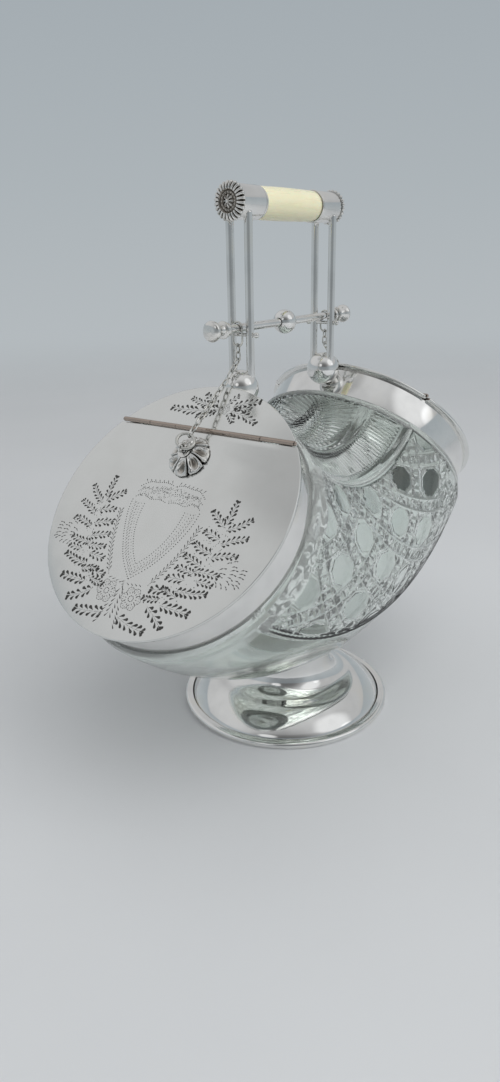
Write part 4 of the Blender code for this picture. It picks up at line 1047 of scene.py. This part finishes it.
# The sunk ring with its beads, and the boss of small petals: shares, bead, petal, painted shade
HEART_ROWS = (
    (0.52, 0.60, 0.0, 0.0, 1.0), (0.47, 0.58, 0.5, 0.0, 0.8), (0.43, 0.58, 0.8, 0.0, 0.6),
    (0.39, 0.58, 0.5, 0.0, 0.8), (0.345, 0.60, 0.0, 0.0, 1.0), (0.31, 0.64, 0.0, 0.6, 0.9),
    (0.25, 0.78, 0.0, 1.0, 0.5), (0.18, 0.88, 0.0, 1.0, 0.4), (0.12, 0.86, 0.0, 0.5, 0.8),
    (0.09, 0.92, 0.0, 0.0, 0.2), (0.04, 0.99, 0.0, 0.0, 0.0),
)


def rosette():
    """Domed cap in the form of a flower: long radial flutes round a sunk ring of beads and a boss. Gives its
    rings of points from the back up, and a painted shade for each point, darkest down the flutes and over the
    sunk ring."""
    radius, height, count = ROSETTE_R, ROSETTE_HEIGHT, FLUTES * 12

    def fluted(turn, share, up, flute, shade):
        cut = flute * off_middle(FLUTES * turn / TAU) ** 2.2
        reach = radius * share - (1.05 if share > 0.86 else 0.35) * cut
        rise = height * up - (0.95 if share <= 0.94 else 0.2) * cut * (0.35 + 0.65 * share)
        # the third value is painted shade: down the flutes, and over the sunk ring inside them
        return reach, max(rise, 0.0), min(1.0, shade * cut ** 1.5 * 1.1 + (0.6 if share < 0.58 else 0.0))

    def heart(turn, share, up, bead, petal, shade):
        drop = 0.5 + 0.5 * cos(16 * turn)
        ray = abs(sin(4 * turn))
        # painted shade: lighter on the beads' tops, darker between the boss's petals
        shade *= (1 - 0.75 * bead * drop) * (0.25 + 0.75 * ray ** 2 if petal else 1)
        return radius * share, height * up + bead * 0.75 * drop - petal * 0.9 * ray ** 3, shade

    rings, hollow_shades = shaped(count, FLUTE_ROWS, fluted)
    more, heart_shades = shaped(count, HEART_ROWS, heart)
    hole = [circle(GRIP_BORE, z, count) for z in (1.7, 0.0)]
    return hole + rings + more, [[0.0] * count] * 2 + hollow_shades + heart_shades


def grip_end(side):
    place = level(GRIP_Z, -QUARTER)
    start, end = BAND_START, BAND_START + BAND_LENGTH
    proud = 0.20 if side == "left" else 0.55
    band = [(GRIP_BORE, start), (GRIP_R, start), (GRIP_R, start + 0.05)]
    band += arc(GRIP_R + 0.1, start + BAND_LENGTH / 2, proud, -QUARTER, QUARTER, 12, rise=0.6)
    band += [(GRIP_R, end), (GRIP_BORE, end)]
    make("grip_band_@", spun(band, 72), WORN_SILVER, "grip_ring_@", side, place, sharp=40)

    low, high = FERRULE_START, FERRULE_END
    ferrule = rounded([(GRIP_BORE, low), (FERRULE_R, low), (FERRULE_R, high), (GRIP_BORE, high)], 0.4, 4)
    make("grip_ferrule_@", spun(ferrule, 72), SILVER, "ferrule_@", side, place, sharp=40)

    rings, hollow_shades = rosette()
    item = make("rosette_@", skin(bmesh.new(), rings), WORN_SILVER, "end_cap_@", side,
                place @ Matrix.Translation((0, 0, ROSETTE_START)), sharp=60, merge=0)
    # painted shade in the rosette's flutes and sunk ring, read by the material as its hollow value
    paint(item, "hollow", hollow_shades)


# Turned knob: how far from its neck's radius to its full one, and share of its length
KNOB_SHARES = (
    (0.30, 0.0), (0.42, 0.03), (0.42, 0.13), (0.30, 0.17), (0.20, 0.19), (0.62, 0.21), (0.80, 0.225),
    (0.86, 0.255), (0.80, 0.285), (0.62, 0.30), (0.14, 0.33), (-0.10, 0.42), (-0.06, 0.52), (0.20, 0.60),
    (0.60, 0.68), (0.98, 0.75), (1.14, 0.80), (1.18, 0.85), (1.12, 0.895), (0.96, 0.925), (0.66, 0.955),
    (0.32, 0.98), (-0.1, 0.99), (-0.6, 0.997),
)


def bar_end(side):
    start = BAR_HALF + GAP
    end, blind = start + KNOB_LENGTH, start + KNOB_DEPTH
    knob = [(KNOB_NECK + (KNOB_R - KNOB_NECK) * r, start + KNOB_LENGTH * h) for r, h in KNOB_SHARES]
    knob = [(KNOB_BORE, start)] + knob + [(1.0, end), (0.0, end), (0.0, blind), (KNOB_BORE, blind)]
    make("knob_@", spun(knob, 48), WORN_SILVER, "finial_@", side, level(BAR_Z, -QUARTER), "lift_bar", 38)

    top = BAR_Z + BAR_R + GAP + HANGER_WIRE
    upright = Matrix.Translation((POINT_A.x, 0, top - HANGER_LENGTH / 2)) @ Matrix.Rotation(QUARTER, 4, "Y")
    loop = oval(upright, HANGER_LENGTH / 2 - HANGER_BEND, HANGER_BEND, 18)
    make("hanger_loop_@", wire(bmesh.new(), loop, HANGER_WIRE), CHAIN_SILVER, "hanger_@", side, body="lift_bar")


# ---- chains

def chain(side):
    """Separate oval links threaded through each other, in three lengths, and the pull's ring."""
    up, low = (atan2(run.z, run.x) for run in (POINT_K - POINT_M, POINT_K - POINT_E))
    for part, origin, angle, crown, count, pitch in (("top", POINT_A, -QUARTER, -1.2, 2, 3.77),
                                                     ("middle", POINT_M, up, -0.55, 3, 3.79),
                                                     ("lower", POINT_E, low, 6.95, 10, 3.726)):
        bm = bmesh.new()
        base = Matrix.Translation(origin) @ Matrix.Rotation(-angle, 4, "Y")
        length = pitch + LINK_OVERLAP
        for index in range(count):
            middle = Matrix.Translation((crown + pitch * index + length / 2, 0, 0))
            roll = Matrix.Rotation(QUARTER + (index % 2) * QUARTER, 4, "X")
            wire(bm, oval(base @ middle @ roll, length / 2 - LINK_BEND, LINK_BEND, 8), LINK_WIRE, 8)
        make(f"links_@_{part}", bm, CHAIN_SILVER, f"chain_@_{part}", side, body=f"chain_@_{part}")
    # the ring is stouter at its sides than where it hangs in the eye and in the link
    base = Matrix.Translation(POINT_E) @ Matrix.Rotation(-low, 4, "Y")
    hung = base @ Matrix.Rotation(RING_TWIST, 4, "X") @ Matrix.Translation((RING_R, 0, 0))
    bm = wire(bmesh.new(), oval(hung, 0, RING_R, 24), RING_WIRE)
    for vert in bm.verts:
        local = hung.inverted() @ vert.co
        turn = atan2(local.y, local.x)
        centre = unit(turn).to_3d() * RING_R
        vert.co = hung @ (centre + (local - centre) * (1 + 0.25 * sin(turn) ** 2))
    make("ring_@", bm, CHAIN_SILVER, "pull_ring_@", side, body="chain_@_lower")


# ---- room, light, camera

def floor_material():
    """Pale grey floor. Further off, where it turns into the backdrop, it glows with a painted tone to the camera
    and in gloss and glass, without lighting the object: darker higher up, and darker still behind the camera."""
    n = new_material("pale_floor")
    mottle = n.noise(6.0)
    n.set(Base_Color=n.ramp(mottle, (0.3, (0.700, 0.715, 0.728)), (0.7, (0.725, 0.740, 0.752))),
          Roughness=n.spread(mottle, 0.3, 0.7, 0.55, 0.65))
    height = n.spread(n.add("SeparateXYZ", n.place).outputs["Z"], 0.0, 1.3, 0.0, 1.0)
    colour = n.ramp(height, (0.0, (0.455, 0.490, 0.512)), (0.4, (0.415, 0.455, 0.480)),
                    (1.0, (0.370, 0.412, 0.442)))
    # a painted darker stretch of the glow behind the camera, which the metal mirrors
    out = n.vectors("NORMALIZE", "Vector", n.place)
    towards = n.vectors("DOT_PRODUCT", "Value", out, (-0.82, -0.57, 0.0))
    wall = n.add("Emission", colour, n.spread(towards, 0.55, 0.97, 1.0, 0.60, smooth=True))
    path = n.add("LightPath").outputs
    mirror = n.maths("MAXIMUM", path["Is Glossy Ray"], path["Is Transmission Ray"])
    seen = n.maths("MAXIMUM", path["Is Camera Ray"], mirror)
    away = n.spread(n.vectors("LENGTH", "Value", n.place), 0.55, 2.4, 0.0, 1.0, smooth=True)
    blend = n.add("MixShader", n.maths("MULTIPLY", seen, away), n.shader.outputs[0], wall.outputs[0])
    n.feed(n.tree.nodes["Material Output"].inputs["Surface"], blend.outputs[0])
    return n.owner


def room():
    """A round floor that turns up all round into a low backdrop, in one sweep."""
    back, bend, rise, sides = 3.2, 1.0, 1.24, 128
    profile = [(0.02, 0.0)] + arc(back - bend, bend, bend, -QUARTER, 0, 20) + [(back, rise)]
    bm = bmesh.new()
    loops = [[bm.verts.new(point) for point in circle(radius, z, sides)] for radius, z in profile]
    bm.faces.new(loops[0])
    for near, far in zip(loops, loops[1:]):
        bridge(bm, far, near)
    mesh = bpy.data.meshes.new("floor")
    bm.to_mesh(mesh)
    bm.free()
    mesh.shade_smooth()
    item = bpy.data.objects.new("floor", mesh)
    bpy.context.scene.collection.objects.link(item)
    mesh.materials.append(floor_material())


# Soft windows of the studio: direction, brightness, angle where it is full and where it ends
WINDOWS = (
    ((-0.25, 0.80, 0.55), 0.085, 30.0, 52.0),
    ((0.14, -0.75, 0.62), 0.36, 13.0, 24.0),
    ((0.34, -0.85, 0.40), 0.32, 4.0, 9.0),
    ((0.10, -0.10, 1.00), 0.10, 16.0, 40.0),
    ((-0.86, -0.20, 0.48), 0.60, 6.0, 12.0),
)


def lights():
    """An even studio with a few soft-edged windows, and one broad softbox overhead."""
    data = bpy.data.lights.new("overhead", "AREA")
    data.shape = "DISK"
    data.size = 2.0
    data.energy = 14.0
    item = bpy.data.objects.new("overhead", data)
    item.location = (-0.33, -1.00, 1.27)
    item.visible_glossy = False
    item.rotation_euler = (Vector((0, 0, 0.14)) - item.location).to_track_quat("-Z", "Y").to_euler()
    bpy.context.scene.collection.objects.link(item)

    world = bpy.data.worlds.new("studio")
    bpy.context.scene.world = world
    n = Nodes(world, "Generated")

    def lobe(direction, inner, outer, low, high):
        """A value that goes from low to high towards a direction, between two angles from it."""
        along = n.vectors("DOT_PRODUCT", "Value", n.place, Vector(direction).normalized())
        edges = (cos(radians(angle)) for angle in (outer, inner))
        return n.spread(along, *edges, low, high, smooth=True)

    light = lobe((0, 0, 1), 60.0, 100.0, 0.30, 0.52)
    # dark cards: one behind the camera, one that shades the lid's far edge
    light = n.maths("MULTIPLY", light, lobe((-0.80, -0.55, 0.22), 12.0, 48.0, 1.0, 0.30))
    light = n.maths("MULTIPLY", light, lobe((-0.20, 0.20, 0.96), 9.0, 19.0, 1.0, 0.64))
    for direction, brightness, inner, outer in WINDOWS:
        light = n.maths("ADD", light, lobe(direction, inner, outer, 0.0, brightness))
    n.feed(n.tree.nodes["Background"].inputs["Color"], n.mix((0.985, 1.0, 1.015, 1.0), light))


def camera():
    data = bpy.data.cameras.new("photo_camera")
    data.lens = 25.38
    data.sensor_width = 36.0
    data.clip_start = 0.01
    data.clip_end = 30.0
    item = bpy.data.objects.new("photo_camera", data)
    right = Vector((0.59136941, -0.80622228, -0.01696608))
    up = Vector((0.29421608, 0.19612499, 0.93539932))
    forward = Vector((0.7508123, 0.55815824, -0.35318588))
    turn = Matrix((right, up, -forward)).transposed().to_4x4()
    item.matrix_world = Matrix.Translation(Vector((-347.61364, -233.02828, 258.88770)) * MM) @ turn
    bpy.context.scene.collection.objects.link(item)
    bpy.context.scene.camera = item


camera()
glass()
foot_pieces()
handle()
for side in ("left", "right"):
    for part in (collar, lid, engraving, pull, uprights, grip_end, bar_end, chain):
        part(side)
room()
lights()
bpy.context.scene.view_settings.view_transform = "Standard"
